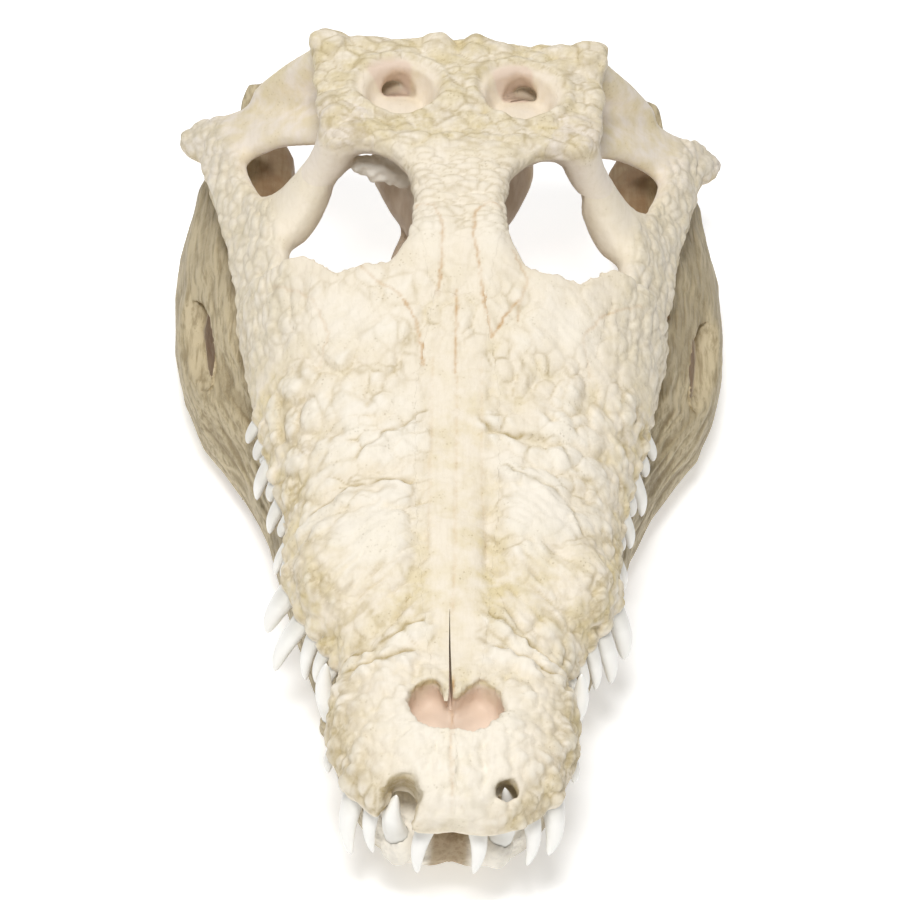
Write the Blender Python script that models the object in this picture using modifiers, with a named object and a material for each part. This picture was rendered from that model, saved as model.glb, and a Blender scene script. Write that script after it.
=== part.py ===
"""Skull of a large crocodile with its lower jaw closed under it, life size.

The skull rests on its lower jaw on the plane z = 0.  The snout points to -Y,
the animal's left side is +X and +Z is up.  Lengths are in millimetres from the
tip of the snout until place_on_floor() moves the finished bones to the origin,
which is the middle of the footprint on the floor.

The upper skull and the lower jaw are each modelled whole, as rounded lofts that
are fused, hollowed and smoothed.  They are then parted along their sutures, and
the teeth are fused into the bones that hold them.
"""
import math

import bmesh
import bpy
from mathutils import Matrix, Vector

MM = 0.001
GAP = 0.3                  # kept between neighbouring bones
GRAIN = 2.2                # voxel size of the fused bone
UPPER_FACES = 5000
LOWER_FACES = 1700
RING_SIDES = 20
TOOTH_SIDES = 6
MIDLINE = GAP / 2
ABOVE = 200.0              # height over every bone, for blocks that part them
BELOW = -30.0
SHARP_ANGLE = 50.0
SOFTEN = 0.5               # strength and number of the passes that smooth the bone
SOFTEN_PASSES = 4
BALL_ROWS = 12
MITRE_LIMIT = 0.3

# Power of the sine and cosine that bound a section: 1 is an ellipse, 0 a box
SECTION_POWER = 0.65
JAW_POWER = 0.8
ARCH_POWER_ACROSS = 0.75
ARCH_POWER_UP = 0.8

TABLE_THICK = 13.0
SHELF_DROP = 3.0           # how much lower the shelf's back edge is than its front
PALATE_RISE = 8.0
PALATE_START = 30.0        # distance back at which the palate reaches its full rise
PALATE_LEAST = 0.1         # share of the rise at the tip of the snout
PALATE_CREST = 1.0
LIP = 3.0                  # height of the upright tooth edge under the roof
LIP_WIDTH = 2.0
GUM = (0.80, 0.5)          # inside of the tooth edge: share of the half width, height
PALATE_SHARE = 0.55
ARCH_STEPS = 12
TOOTH_ROOT = 7.0
TOOTH_BOW = 0.06           # how far a crown curves, as a share of its length
TOOTH_BOW_WAY = Vector((1.0, -0.5, 0.0)).normalized()
SMALL_CROWN = 18.0         # shorter crowns are made with fewer sides
ROOT_WIDTH = 0.8
TIP_WIDTH = 0.08
SMALL_WAIST = ((0.55, 0.8),)             # share of the crown, share of the radius
LARGE_WAIST = ((0.4, 0.88), (0.75, 0.5))

# Snout: distance back, half width, height of tooth edge, height of the roof
SNOUT = [
    (-7.0, 17.0, 60.5, 73.0),
    (-3.0, 27.0, 59.5, 79.0),
    (4.0, 36.0, 59.5, 83.0),
    (16.0, 45.0, 60.0, 86.5),
    (33.0, 52.0, 61.0, 89.0),
    (47.0, 54.0, 62.0, 91.0),
    (60.0, 53.0, 63.0, 91.0),
    (70.0, 49.5, 64.5, 89.5),
    (79.0, 48.0, 65.0, 89.0),
    (90.0, 51.0, 64.0, 90.0),
    (104.0, 58.0, 62.0, 93.0),
    (117.0, 66.0, 61.0, 96.0),
    (132.0, 72.0, 61.5, 98.5),
    (153.0, 73.5, 64.0, 100.0),
    (175.0, 75.0, 67.0, 101.5),
    (198.0, 79.0, 66.5, 105.0),
    (220.0, 84.0, 67.5, 110.0),
    (245.0, 90.5, 70.0, 116.5),
    (270.0, 95.5, 71.0, 124.0),
    (294.0, 99.5, 72.0, 130.0),
    (305.0, 101.0, 73.0, 133.0),
]

# Bar of the forehead: distance back, half width, top, underside
FOREHEAD = [
    (262.0, 30.0, 122.0, 104.0),
    (290.0, 30.0, 132.0, 112.0),
    (305.0, 23.5, 138.0, 119.0),
    (333.0, 21.0, 143.0, 125.0),
    (352.0, 24.5, 144.5, 128.0),
    (364.0, 36.0, 145.0, 130.0),
    (378.0, 52.0, 145.0, 132.0),
]

# Skull table: distance back, half width, top
TABLE = [
    (366.0, 56.0, 144.0),
    (374.0, 64.0, 144.5),
    (384.0, 67.5, 145.0),
    (400.0, 69.0, 145.0),
    (420.0, 70.5, 145.5),
    (436.0, 71.5, 147.0),
    (447.0, 68.0, 148.0),
]

# Cheek: distance back, inner upper edge (x, z), outer lower edge (x, z), thickness
CHEEK = [
    (236.0, 66.0, 96.0, 87.0, 74.0, 16.0),
    (262.0, 72.0, 100.0, 93.5, 75.0, 15.0),
    (290.0, 77.0, 102.0, 99.0, 75.0, 13.0),
    (316.0, 81.0, 103.0, 103.5, 76.0, 12.0),
    (345.0, 84.0, 103.0, 107.5, 76.5, 12.0),
    (370.0, 88.0, 99.0, 111.5, 78.0, 12.0),
    (392.0, 95.5, 92.5, 116.0, 78.0, 12.0),
    (415.0, 103.0, 90.5, 121.5, 78.0, 12.0),
    (440.0, 108.0, 91.0, 126.5, 76.0, 13.0),
    (458.0, 116.0, 86.0, 133.0, 73.0, 13.0),
    (467.0, 120.0, 82.0, 132.0, 74.0, 9.0),
]

# Quadrate shelf: distance out from the midline, front, back, height, thickness
SHELF = [
    (30.0, 398.0, 450.0, 121.0, 14.0),
    (52.0, 406.0, 454.0, 119.0, 13.0),
    (68.0, 414.0, 460.0, 111.0, 12.0),
    (84.0, 424.0, 467.0, 102.0, 12.0),
    (98.0, 427.0, 471.0, 93.0, 13.0),
    (114.0, 434.0, 472.0, 84.0, 14.0),
    (128.0, 446.0, 470.0, 78.0, 13.0),
    (134.0, 455.0, 466.0, 76.0, 8.0),
]

# Braincase: distance back, half width above, half width below, top, underside
BRAINCASE = [
    (338.0, 7.0, 8.0, 134.0, 112.0),
    (358.0, 11.0, 26.0, 136.0, 82.0),
    (378.0, 16.0, 31.0, 136.0, 76.0),
    (400.0, 22.0, 39.0, 138.0, 68.0),
    (425.0, 26.0, 47.0, 138.0, 64.0),
    (447.0, 26.0, 44.0, 138.0, 68.0),
    (455.0, 20.0, 26.0, 132.0, 80.0),
]

# Back wall: distance out, front, back, top, underside
BACK_WALL = [
    (0.0, 434.0, 451.0, 140.0, 92.0),
    (30.0, 436.0, 453.0, 140.0, 94.0),
    (55.0, 440.0, 456.0, 140.0, 106.0),
    (70.0, 446.0, 460.0, 134.0, 112.0),
    (82.0, 454.0, 467.0, 119.0, 102.0),
    (94.0, 461.0, 471.0, 104.0, 92.0),
    (101.0, 464.0, 470.0, 96.0, 88.0),
]

# Floor of the temple: distance back, half width, top, underside
TEMPLE_FLOOR = [
    (380.0, 34.0, 130.0, 116.0),
    (392.0, 44.0, 128.0, 112.0),
    (420.0, 46.0, 127.0, 112.0),
    (438.0, 42.0, 130.0, 112.0),
]

# Palate bar and pterygoid plate: distance back, half width, top, underside
PALATE = [
    (226.0, 20.0, 84.0, 68.0),
    (255.0, 17.0, 82.0, 66.0),
    (290.0, 15.0, 79.0, 63.0),
    (322.0, 19.0, 76.0, 60.0),
    (345.0, 27.0, 74.0, 57.0),
    (372.0, 30.0, 76.0, 57.0),
    (398.0, 22.0, 80.0, 60.0),
]

# Round bars as (x, y, z, radius across, radius along the skull)
BROW_BAR = [
    (56.0, 378.0, 138.0, 9.0, 12.0),
    (59.5, 378.0, 122.0, 8.0, 12.0),
    (67.0, 375.0, 108.0, 8.5, 15.0),
    (74.0, 371.0, 97.0, 9.0, 20.0),
    (82.0, 367.0, 88.0, 10.0, 24.0),
]
WING = [
    (16.0, 350.0, 66.0, 8.0, 20.0),
    (36.0, 350.0, 60.0, 5.0, 17.0),
    (54.0, 355.0, 52.0, 5.0, 16.0),
    (67.0, 360.0, 45.0, 5.5, 16.0),
    (73.0, 361.0, 41.0, 4.0, 12.0),
]
OUTER_STRUT = [
    (66.0, 352.0, 50.0, 6.0, 8.0),
    (74.0, 336.0, 62.0, 6.0, 8.0),
    (83.0, 318.0, 74.0, 7.0, 10.0),
    (86.0, 300.0, 80.0, 7.0, 12.0),
]

# Balls that swell the bone, as centre and half sizes
ROLLER = ((108.0, 466.0, 71.0), (21.0, 9.0, 8.0))
TOOTH_BOSS = ((50.0, 132.0, 79.0), (20.0, 30.0, 17.0))
TABLE_CORNER = ((63.0, 440.0, 144.0), (10.0, 11.0, 6.0))
CONDYLE = ((0.0, 459.0, 98.0), (10.0, 10.0, 9.0))
JAW_BOSS = ((44.0, 80.0, 46.0), (9.5, 15.0, 9.0))

# Lower jaw: back, inner low, outer low, inner high, outer high, bulge, underside, top
LOWER_JAW = [
    (9.0, -2.0, 13.0, -2.0, 13.0, 1.0, 30.0, 45.0),
    (12.0, -2.0, 20.0, -2.0, 21.0, 1.0, 25.0, 49.0),
    (19.0, -2.0, 27.0, -2.0, 28.0, 2.0, 19.0, 52.0),
    (28.0, -2.0, 33.0, -2.0, 33.0, 3.0, 13.0, 54.0),
    (45.0, -2.0, 38.0, -2.0, 38.0, 5.0, 6.0, 56.0),
    (64.0, -2.0, 42.0, -2.0, 42.0, 6.0, 1.0, 57.0),
    (80.0, 8.0, 45.0, 6.0, 45.0, 6.0, -1.0, 57.0),
    (98.0, 24.0, 49.0, 20.0, 47.5, 6.5, 1.0, 56.0),
    (125.0, 38.0, 55.0, 34.0, 53.0, 8.0, 5.0, 55.5),
    (170.0, 51.0, 66.5, 48.0, 62.5, 9.5, 7.0, 60.5),
    (212.0, 65.0, 78.5, 59.0, 72.0, 9.0, 7.0, 61.0),
    (249.0, 80.0, 93.0, 73.0, 84.0, 11.5, 5.0, 63.0),
    (288.0, 97.0, 110.0, 86.0, 98.0, 16.0, 1.0, 65.0),
    (316.0, 104.0, 117.0, 91.0, 103.0, 17.0, -1.0, 66.0),
    (350.0, 107.0, 121.0, 94.0, 106.0, 18.0, -1.5, 66.5),
    (385.0, 106.0, 122.0, 95.0, 108.0, 18.0, -1.5, 66.0),
    (412.0, 100.0, 122.0, 89.0, 112.0, 16.0, 0.0, 63.0),
    (436.0, 83.0, 119.0, 76.0, 117.0, 12.0, 5.0, 59.0),
    (458.0, 74.0, 116.0, 69.0, 122.0, 7.0, 14.0, 57.0),
    (476.0, 76.0, 110.0, 73.0, 119.0, 4.0, 26.0, 57.0),
    (496.0, 86.0, 107.0, 85.0, 110.0, 2.0, 40.0, 59.0),
    (512.0, 89.0, 106.0, 88.0, 107.0, 1.0, 50.0, 64.0),
    (521.0, 91.0, 104.0, 91.0, 104.0, 0.0, 56.0, 67.0),
]

# Openings
ORBIT = [
    (20.5, 334.0), (22.0, 312.0), (31.0, 293.0), (56.0, 289.0), (72.0, 306.0),
    (79.0, 328.0), (72.0, 347.0), (60.0, 360.0), (51.0, 366.0), (37.0, 362.0),
    (25.0, 352.0),
]
ORBIT_DEPTH = 70.0
NARIS = [
    (0.0, 29.0), (10.0, 30.0), (18.0, 36.0), (20.5, 44.0), (17.0, 53.0),
    (10.0, 58.0), (5.0, 53.0), (0.0, 47.0),
]
NARIS_FLOOR = 76.0
PALATE_WINDOW = [
    (22.0, 246.0), (40.0, 236.0), (56.0, 250.0), (66.0, 285.0), (68.0, 320.0),
    (56.0, 338.0), (36.0, 334.0), (22.0, 312.0),
]
PALATE_WINDOW_TOP = 100.0
TEMPLE_PIT = ((28.5, 404.0, 150.0), (18.0, 20.0, 20.0))
TEMPLE_SHAFT = ((29.0, 417.0, 133.0), (8.5, 10.0, 13.0))
SPINAL_HOLE = ((0.0, 456.0, 118.0), (9.0, 14.0, 8.0))
JAW_WINDOW = ((120.0, 331.0, 45.0), (26.0, 34.0, 9.5))
# Holes of the snout over the front lower teeth, as (x, y, z, half width, half depth)
TOOTH_HOLE_RIGHT = [
    (-21.5, 4.0, 52.0, 7.8, 11.5),
    (-21.5, 3.5, 68.0, 7.8, 10.5),
    (-21.0, -0.5, 84.0, 7.5, 7.5),
    (-21.0, -1.5, 100.0, 7.5, 7.5),
]
TOOTH_HOLE_LEFT = [
    (21.5, 8.5, 52.0, 7.0, 7.0),
    (21.5, 8.0, 68.0, 6.2, 6.2),
    (20.5, 3.5, 82.0, 4.6, 4.6),
    (20.5, 3.0, 100.0, 4.6, 4.6),
]
JAW_SHIFT = 1.5            # the lower jaw sits a little to the animal's left

# Teeth of each side: base (x, y, z), lean out, lean forward, crown, root radius
UPPER_FRONT_TEETH = {
    "left": [
        (9.5, 2.0, 61.0, 0.5, 5.0, 25.0, 4.0),
        (32.0, 9.0, 61.0, 0.5, 4.0, 27.0, 3.8),
        (41.0, 17.0, 61.0, 0.5, 6.0, 27.0, 4.8),
        (49.5, 40.0, 62.5, 2.0, 2.0, 12.0, 2.8),
    ],
    "right": [
        (9.5, 2.0, 61.0, 3.5, 4.0, 27.0, 4.0),
        (32.5, 10.0, 61.0, -1.0, 4.0, 24.0, 3.4),
        (40.0, 17.0, 61.0, 0.5, 6.0, 31.0, 4.6),
        (49.5, 40.0, 62.5, 2.0, 2.0, 12.0, 2.8),
    ],
}
UPPER_LARGE_TEETH = {
    "left": [
        (59.0, 108.0, 64.0, 4.0, 5.0, 21.0, 3.6),
        (63.5, 119.0, 64.0, 7.0, 6.0, 27.0, 4.8),
        (69.0, 134.0, 64.0, 8.0, 4.0, 28.0, 5.8),
    ],
    "right": [
        (59.0, 108.0, 64.0, 3.0, 5.0, 22.0, 3.6),
        (63.5, 119.0, 64.0, 12.0, 5.0, 30.0, 5.0),
        (69.0, 138.0, 64.0, 10.5, 2.0, 27.0, 5.8),
    ],
}
UPPER_SIDE_TEETH = [
    (50.0, 89.0, 64.0, 3.0, 2.0, 13.0, 2.6),
    (54.5, 98.0, 64.0, 3.0, 3.0, 16.0, 3.0),
    (70.5, 152.0, 66.0, 4.0, 2.0, 16.0, 3.6),
    (71.5, 164.0, 67.0, 4.0, 1.0, 13.0, 3.0),
    (73.0, 177.0, 68.0, 4.0, 1.0, 14.0, 3.2),
    (75.5, 190.0, 69.0, 4.0, 1.0, 15.0, 3.6),
    (78.0, 203.0, 69.0, 4.0, 1.0, 16.0, 3.8),
    (81.0, 216.0, 70.0, 4.0, 1.0, 15.0, 3.8),
    (84.5, 229.0, 71.0, 4.0, 0.5, 13.0, 3.6),
    (87.5, 241.0, 72.0, 4.0, 0.5, 11.0, 3.4),
]
LOWER_FRONT_TEETH = {
    "left": [(20.5, 10.0, 45.0, 0.0, 3.0, 32.0, 5.0)],
    "right": [(22.0, 10.5, 44.0, 1.5, 3.0, 26.0, 5.0)],
}
LOWER_TEETH = [
    (31.0, 28.0, 49.0, 0.0, 1.0, 10.0, 2.8),
    (37.0, 46.0, 51.0, 0.0, 1.0, 9.0, 2.8),
    (50.0, 78.5, 47.0, 4.0, 0.0, 29.0, 5.0),
    (44.0, 96.0, 52.0, 0.0, 0.0, 8.5, 2.8),
    (48.0, 110.0, 52.0, 0.0, 0.0, 8.0, 2.8),
    (52.0, 126.0, 52.0, 0.0, 0.0, 7.0, 2.8),
    (56.0, 142.0, 53.0, 0.0, 0.0, 7.5, 3.0),
    (60.0, 158.0, 54.0, 0.0, 0.0, 8.5, 3.2),
    (64.5, 175.0, 55.0, 0.0, 0.0, 8.5, 3.2),
    (69.0, 191.0, 56.0, 0.0, 0.0, 8.5, 3.4),
    (73.5, 207.0, 57.0, 0.0, 0.0, 8.5, 3.4),
    (79.0, 223.0, 58.0, 0.0, 0.0, 8.0, 3.2),
    (84.0, 238.0, 58.5, 0.0, 0.0, 7.5, 3.0),
]

# Sutures seen from above, as outlines that each bone is parted by
NASAL_OUTLINE = [
    (-8.0, 38.0), (8.0, 38.0), (10.5, 64.0), (14.0, 100.0), (18.0, 160.0),
    (18.5, 225.0), (11.0, 274.0), (-11.0, 274.0), (-18.5, 225.0),
    (-18.0, 160.0), (-14.0, 100.0), (-10.5, 64.0),
]
FRONTAL_OUTLINE = [
    (-11.0, 262.0), (11.0, 262.0), (17.0, 300.0), (24.0, 318.0), (34.0, 345.0),
    (46.0, 384.0), (-46.0, 384.0), (-34.0, 345.0), (-24.0, 318.0), (-17.0, 300.0),
]
PREMAXILLA_OUTLINE = [
    (MIDLINE, -30.0), (80.0, -30.0), (80.0, 79.0), (46.0, 79.0), (26.0, 92.0),
    (16.0, 112.0), (MIDLINE, 112.0),
]
LACRIMAL_OUTLINE = [
    (6.0, 236.0), (44.0, 224.0), (62.0, 250.0), (68.0, 278.0), (64.0, 312.0),
    (16.0, 322.0), (8.0, 276.0),
]
MAXILLA_OUTLINE = [
    (MIDLINE, 60.0), (120.0, 60.0), (120.0, 246.0), (88.0, 246.0), (74.0, 262.0),
    (66.0, 316.0), (MIDLINE, 316.0),
]
POSTORBITAL_OUTLINE = [
    (34.0, 340.0), (96.0, 340.0), (96.0, 392.0), (50.0, 392.0), (44.0, 386.0),
]
SQUAMOSAL_OUTLINE = [
    (46.0, 393.0), (96.0, 393.0), (96.0, 480.0), (34.0, 480.0), (30.0, 428.0),
    (46.0, 420.0),
]
PARIETAL_OUTLINE = [
    (-44.0, 380.0), (44.0, 380.0), (52.0, 392.0), (52.0, 422.0), (32.0, 430.0),
    (30.0, 480.0), (-30.0, 480.0), (-32.0, 430.0), (-52.0, 422.0), (-52.0, 392.0),
]
JUGAL_OUTLINE = [
    (62.0, 240.0), (150.0, 240.0), (150.0, 426.0), (96.0, 404.0), (60.0, 396.0),
]
QUADRATE_OUTLINE = [
    (33.0, 384.0), (150.0, 384.0), (150.0, 500.0), (33.0, 500.0),
]
PTERYGOID_OUTLINE = [
    (-110.0, 290.0), (110.0, 290.0), (110.0, 408.0), (-110.0, 408.0),
]
DENTARY_OUTLINE = [
    (MIDLINE, -20.0), (150.0, -20.0), (150.0, 300.0), (MIDLINE, 300.0),
]
REAR_JAW_OUTLINE = [
    (MIDLINE, 290.0), (150.0, 290.0), (150.0, 446.0), (MIDLINE, 446.0),
]
ARTICULAR_OUTLINE = [
    (MIDLINE, 400.0), (160.0, 400.0), (160.0, 600.0), (MIDLINE, 600.0),
]
FLOOR_OUTLINE = [(-200.0, -50.0), (200.0, -50.0), (200.0, 600.0), (-200.0, 600.0)]

# Bones in the order they are parted: name, plan, underside, top, one on each side
UPPER_BONES = [
    ("nasals", NASAL_OUTLINE, 84.0, ABOVE, False),
    ("premaxilla", PREMAXILLA_OUTLINE, 0.0, ABOVE, True),
    ("frontal", FRONTAL_OUTLINE, 108.0, ABOVE, False),
    ("lacrimal", LACRIMAL_OUTLINE, 100.0, ABOVE, True),
    ("maxilla", MAXILLA_OUTLINE, 0.0, ABOVE, True),
    ("postorbital", POSTORBITAL_OUTLINE, 116.0, ABOVE, True),
    ("squamosal", SQUAMOSAL_OUTLINE, 126.0, ABOVE, True),
    ("parietal", PARIETAL_OUTLINE, 126.0, ABOVE, False),
    ("jugal", JUGAL_OUTLINE, 64.0, ABOVE, True),
    ("pterygoid", PTERYGOID_OUTLINE, 0.0, 80.0, False),
    ("quadrate", QUADRATE_OUTLINE, 0.0, ABOVE, True),
]
LOWER_BONES = [
    ("dentary", DENTARY_OUTLINE, BELOW, ABOVE, True),
    ("surangular", REAR_JAW_OUTLINE, 46.0, ABOVE, True),
    ("angular", REAR_JAW_OUTLINE, BELOW, ABOVE, True),
    ("articular", ARTICULAR_OUTLINE, BELOW, ABOVE, True),
]
SIDES = (("left", 1.0), ("right", -1.0))

ROUGH_BONE = (0.80, 0.72, 0.55, 1.0)
SMOOTH_BONE = (0.82, 0.74, 0.62, 1.0)
JAW_BONE = (0.72, 0.64, 0.46, 1.0)
SMOOTH_BONES = ("quadrate", "braincase", "pterygoid", "postorbital")
JAW_BONES = ("dentary", "surangular", "angular", "articular")
BONE_ROUGHNESS = 0.6


def clear_scene():
    for obj in list(bpy.data.objects):
        bpy.data.objects.remove(obj, do_unlink=True)


def new_collection(name):
    collection = bpy.data.collections.new(name)
    bpy.context.scene.collection.children.link(collection)
    return collection


def add_mesh_object(name, mesh, collection):
    obj = bpy.data.objects.new(name, mesh)
    collection.objects.link(obj)
    return obj


def mm(x, y, z):
    return Vector((x, y, z)) * MM


def bone_material(name, color):
    material = bpy.data.materials.new(name)
    material.use_nodes = True
    shader = material.node_tree.nodes["Principled BSDF"]
    shader.inputs["Base Color"].default_value = color
    shader.inputs["Roughness"].default_value = BONE_ROUGHNESS
    shader.inputs["Metallic"].default_value = 0.0
    return material


def bone_color(name):
    kind = name.split("_")[0]
    if kind in JAW_BONES:
        return JAW_BONE
    if kind in SMOOTH_BONES:
        return SMOOTH_BONE
    return ROUGH_BONE


def circle(sides):
    """Cosine and sine of evenly spaced turns."""
    turns = [2 * math.pi * step / sides for step in range(sides)]
    return [(math.cos(turn), math.sin(turn)) for turn in turns]


def signed_power(value, power):
    return math.copysign(abs(value) ** power, value)


def quad_ring(low_inner, low_outer, high_outer, high_inner, power=SECTION_POWER):
    """Rounded ring that fills a four-cornered section."""
    ring = []
    for cosine, sine in circle(RING_SIDES):
        across = (signed_power(cosine, power) + 1) / 2
        up = (signed_power(sine, power) + 1) / 2
        low = low_inner.lerp(low_outer, across)
        high = high_inner.lerp(high_outer, across)
        ring.append(low.lerp(high, up))
    return ring


def arch_ring(y, half_width, edge, roof):
    """Section of the snout: an arched roof over a palate between tooth edges."""
    rise = roof - edge - LIP
    ring = []
    for step in range(ARCH_STEPS + 1):
        turn = math.pi * step / ARCH_STEPS
        x = half_width * signed_power(math.cos(turn), ARCH_POWER_ACROSS)
        up = rise * signed_power(math.sin(turn), ARCH_POWER_UP)
        ring.append(mm(x, y, edge + LIP + up))
    hollow = PALATE_RISE * min(max(y / PALATE_START, PALATE_LEAST), 1.0)
    palate = [(half_width - LIP_WIDTH, 0.0), (half_width * GUM[0], GUM[1]),
              (half_width * PALATE_SHARE, hollow)]
    ring += [mm(-x, y, edge + up) for x, up in palate]
    ring.append(mm(0.0, y, edge + hollow + PALATE_CREST))
    ring += [mm(x, y, edge + up) for x, up in reversed(palate)]
    return ring


def add_loft(bm, rings):
    """Closed skin through the rings, capped at both ends, facing out."""
    rows = [[bm.verts.new(point) for point in ring] for ring in rings]
    count = len(rows[0])
    faces = [bm.faces.new(rows[0]), bm.faces.new(rows[-1])]
    for near, far in zip(rows, rows[1:]):
        for side in range(count):
            after = (side + 1) % count
            faces.append(bm.faces.new((near[side], near[after], far[after], far[side])))
    bmesh.ops.recalc_face_normals(bm, faces=faces)


def lofted(name, rings, collection):
    bm = bmesh.new()
    add_loft(bm, rings)
    return finish_mesh(name, bm, collection)


def finish_mesh(name, bm, collection):
    bmesh.ops.triangulate(bm, faces=bm.faces)
    bmesh.ops.recalc_face_normals(bm, faces=bm.faces)
    mesh = bpy.data.meshes.new(name)
    bm.to_mesh(mesh)
    bm.free()
    return add_mesh_object(name, mesh, collection)


def mirror_x(obj, collection):
    """Twin of a solid on the animal's other side."""
    bm = bmesh.new()
    bm.from_mesh(obj.data)
    for vert in bm.verts:
        vert.co.x = -vert.co.x
    bmesh.ops.reverse_faces(bm, faces=bm.faces)
    mesh = bpy.data.meshes.new(obj.name + "_twin")
    bm.to_mesh(mesh)
    bm.free()
    return add_mesh_object(obj.name + "_twin", mesh, collection)


def flat_section(y, half_width, top, low):
    return quad_ring(mm(-half_width, y, low), mm(half_width, y, low),
                     mm(half_width, y, top), mm(-half_width, y, top))


def bar_rings(stations):
    """Oval rings square to a path, long side along the skull."""
    rings = []
    points = [mm(x, y, z) for x, y, z, _, _ in stations]
    for index, (_, _, _, thick, broad) in enumerate(stations):
        before = points[max(index - 1, 0)]
        after = points[min(index + 1, len(points) - 1)]
        along = (after - before).normalized()
        wide = (Vector((0, 1, 0)) - along * along.y).normalized()
        thin = along.cross(wide).normalized()
        ring = []
        for cosine, sine in circle(RING_SIDES):
            offset = wide * cosine * broad + thin * sine * thick
            ring.append(points[index] + offset * MM)
        rings.append(ring)
    return rings


def ball(name, place, collection):
    """Ball from its centre and its three half sizes."""
    centre, size = place
    bm = bmesh.new()
    bmesh.ops.create_uvsphere(bm, u_segments=RING_SIDES, v_segments=BALL_ROWS, radius=MM)
    bmesh.ops.scale(bm, vec=size, verts=bm.verts)
    bmesh.ops.translate(bm, vec=mm(*centre), verts=bm.verts)
    return finish_mesh(name, bm, collection)


def prism(name, outline, low, high, collection, grow=0.0):
    """Upright block with the given plan, grown outwards by a clearance."""
    plan = grow_outline(outline, grow)
    bm = bmesh.new()
    bottom = [bm.verts.new(mm(x, y, low - grow)) for x, y in plan]
    top = [bm.verts.new(mm(x, y, high + grow)) for x, y in plan]
    count = len(plan)
    bm.faces.new(bottom)
    bm.faces.new(top)
    for side in range(count):
        after = (side + 1) % count
        bm.faces.new((bottom[side], bottom[after], top[after], top[side]))
    return finish_mesh(name, bm, collection)


def grow_outline(outline, grow):
    if not grow:
        return outline
    count = len(outline)
    area = sum(outline[i][0] * outline[(i + 1) % count][1]
               - outline[(i + 1) % count][0] * outline[i][1] for i in range(count))
    side = 1.0 if area > 0 else -1.0
    grown = []
    for index, point in enumerate(outline):
        here = Vector(point)
        into = (here - Vector(outline[index - 1])).normalized()
        out = (Vector(outline[(index + 1) % count]) - here).normalized()
        normal_in = Vector((into.y, -into.x)) * side
        normal_out = Vector((out.y, -out.x)) * side
        middle = (normal_in + normal_out).normalized()
        reach = grow / max(middle.dot(normal_in), MITRE_LIMIT)
        grown.append(tuple(here + middle * reach))
    return grown


def evaluated_copy(obj, name, collection):
    """Apply an object's modifiers as a new object and remove the old one."""
    bpy.context.view_layer.update()
    graph = bpy.context.evaluated_depsgraph_get()
    mesh = bpy.data.meshes.new_from_object(obj.evaluated_get(graph))
    bpy.data.objects.remove(obj, do_unlink=True)
    return add_mesh_object(name, mesh, collection)


def combine(obj, tool, operation, name, collection):
    """Boolean of two solids, which keeps both of them.

    The remeshed bones are dense, and the EXACT solver fails on some of the cuts
    and is many times slower on the rest, so the MANIFOLD solver is used.
    """
    result = add_mesh_object(name, obj.data.copy(), collection)
    modifier = result.modifiers.new(operation.lower(), "BOOLEAN")
    modifier.operation = operation
    modifier.object = tool
    modifier.solver = "MANIFOLD"
    return evaluated_copy(result, name, collection)


def keep_largest(obj):
    """Drop every loose scrap but the largest closed surface."""
    bm = bmesh.new()
    bm.from_mesh(obj.data)
    seen = set()
    groups = []
    for start in bm.faces:
        if start in seen:
            continue
        seen.add(start)
        group = [start]
        for face in group:
            for edge in face.edges:
                for other in edge.link_faces:
                    if other not in seen:
                        seen.add(other)
                        group.append(other)
        groups.append(group)
    groups.sort(key=len)
    loose = [face for group in groups[:-1] for face in group]
    bmesh.ops.delete(bm, geom=loose, context="FACES")
    bm.to_mesh(obj.data)
    bm.free()


def fuse(name, solids, cutters, faces, collection):
    """Fuse rounded solids into one smooth bone and cut its openings."""
    bm = bmesh.new()
    for solid in solids:
        bm.from_mesh(solid.data)
        bpy.data.objects.remove(solid, do_unlink=True)
    mesh = bpy.data.meshes.new(name)
    bm.to_mesh(mesh)
    bm.free()
    bone = add_mesh_object(name, mesh, collection)
    add_remesh(bone)
    bone = evaluated_copy(bone, name, collection)
    for cutter in cutters:
        cut = combine(bone, cutter, "DIFFERENCE", name, collection)
        bpy.data.objects.remove(bone, do_unlink=True)
        bone = cut
    add_remesh(bone)
    smooth = bone.modifiers.new("soften", "SMOOTH")
    smooth.factor = SOFTEN
    smooth.iterations = SOFTEN_PASSES
    bone = evaluated_copy(bone, name, collection)
    keep_largest(bone)
    triangles = sum(len(polygon.vertices) - 2 for polygon in bone.data.polygons)
    thin = bone.modifiers.new("thin_out", "DECIMATE")
    thin.ratio = faces / triangles
    bone = evaluated_copy(bone, name, collection)
    keep_largest(bone)
    return bone


def add_remesh(obj):
    remesh = obj.modifiers.new("grain", "REMESH")
    remesh.mode = "VOXEL"
    remesh.voxel_size = GRAIN * MM


def both_sides(obj, collection):
    return [obj, mirror_x(obj, collection)]


def upper_solids(work):
    """Rounded solids that make the upper skull."""
    snout = lofted("snout", [arch_ring(*row) for row in SNOUT], work)
    forehead = lofted("forehead", [flat_section(*row) for row in FOREHEAD], work)
    table = lofted("table", [flat_section(y, half, top, top - TABLE_THICK)
                             for y, half, top in TABLE], work)
    braincase = lofted("braincase", [braincase_ring(*row) for row in BRAINCASE], work)
    palate = lofted("palate", [flat_section(*row) for row in PALATE], work)
    temple = lofted("temple", [flat_section(*row) for row in TEMPLE_FLOOR], work)
    condyle = ball("condyle", CONDYLE, work)
    solids = [snout, forehead, table, braincase, palate, temple, condyle]
    for piece in side_solids(work):
        solids += both_sides(piece, work)
    return solids


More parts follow.
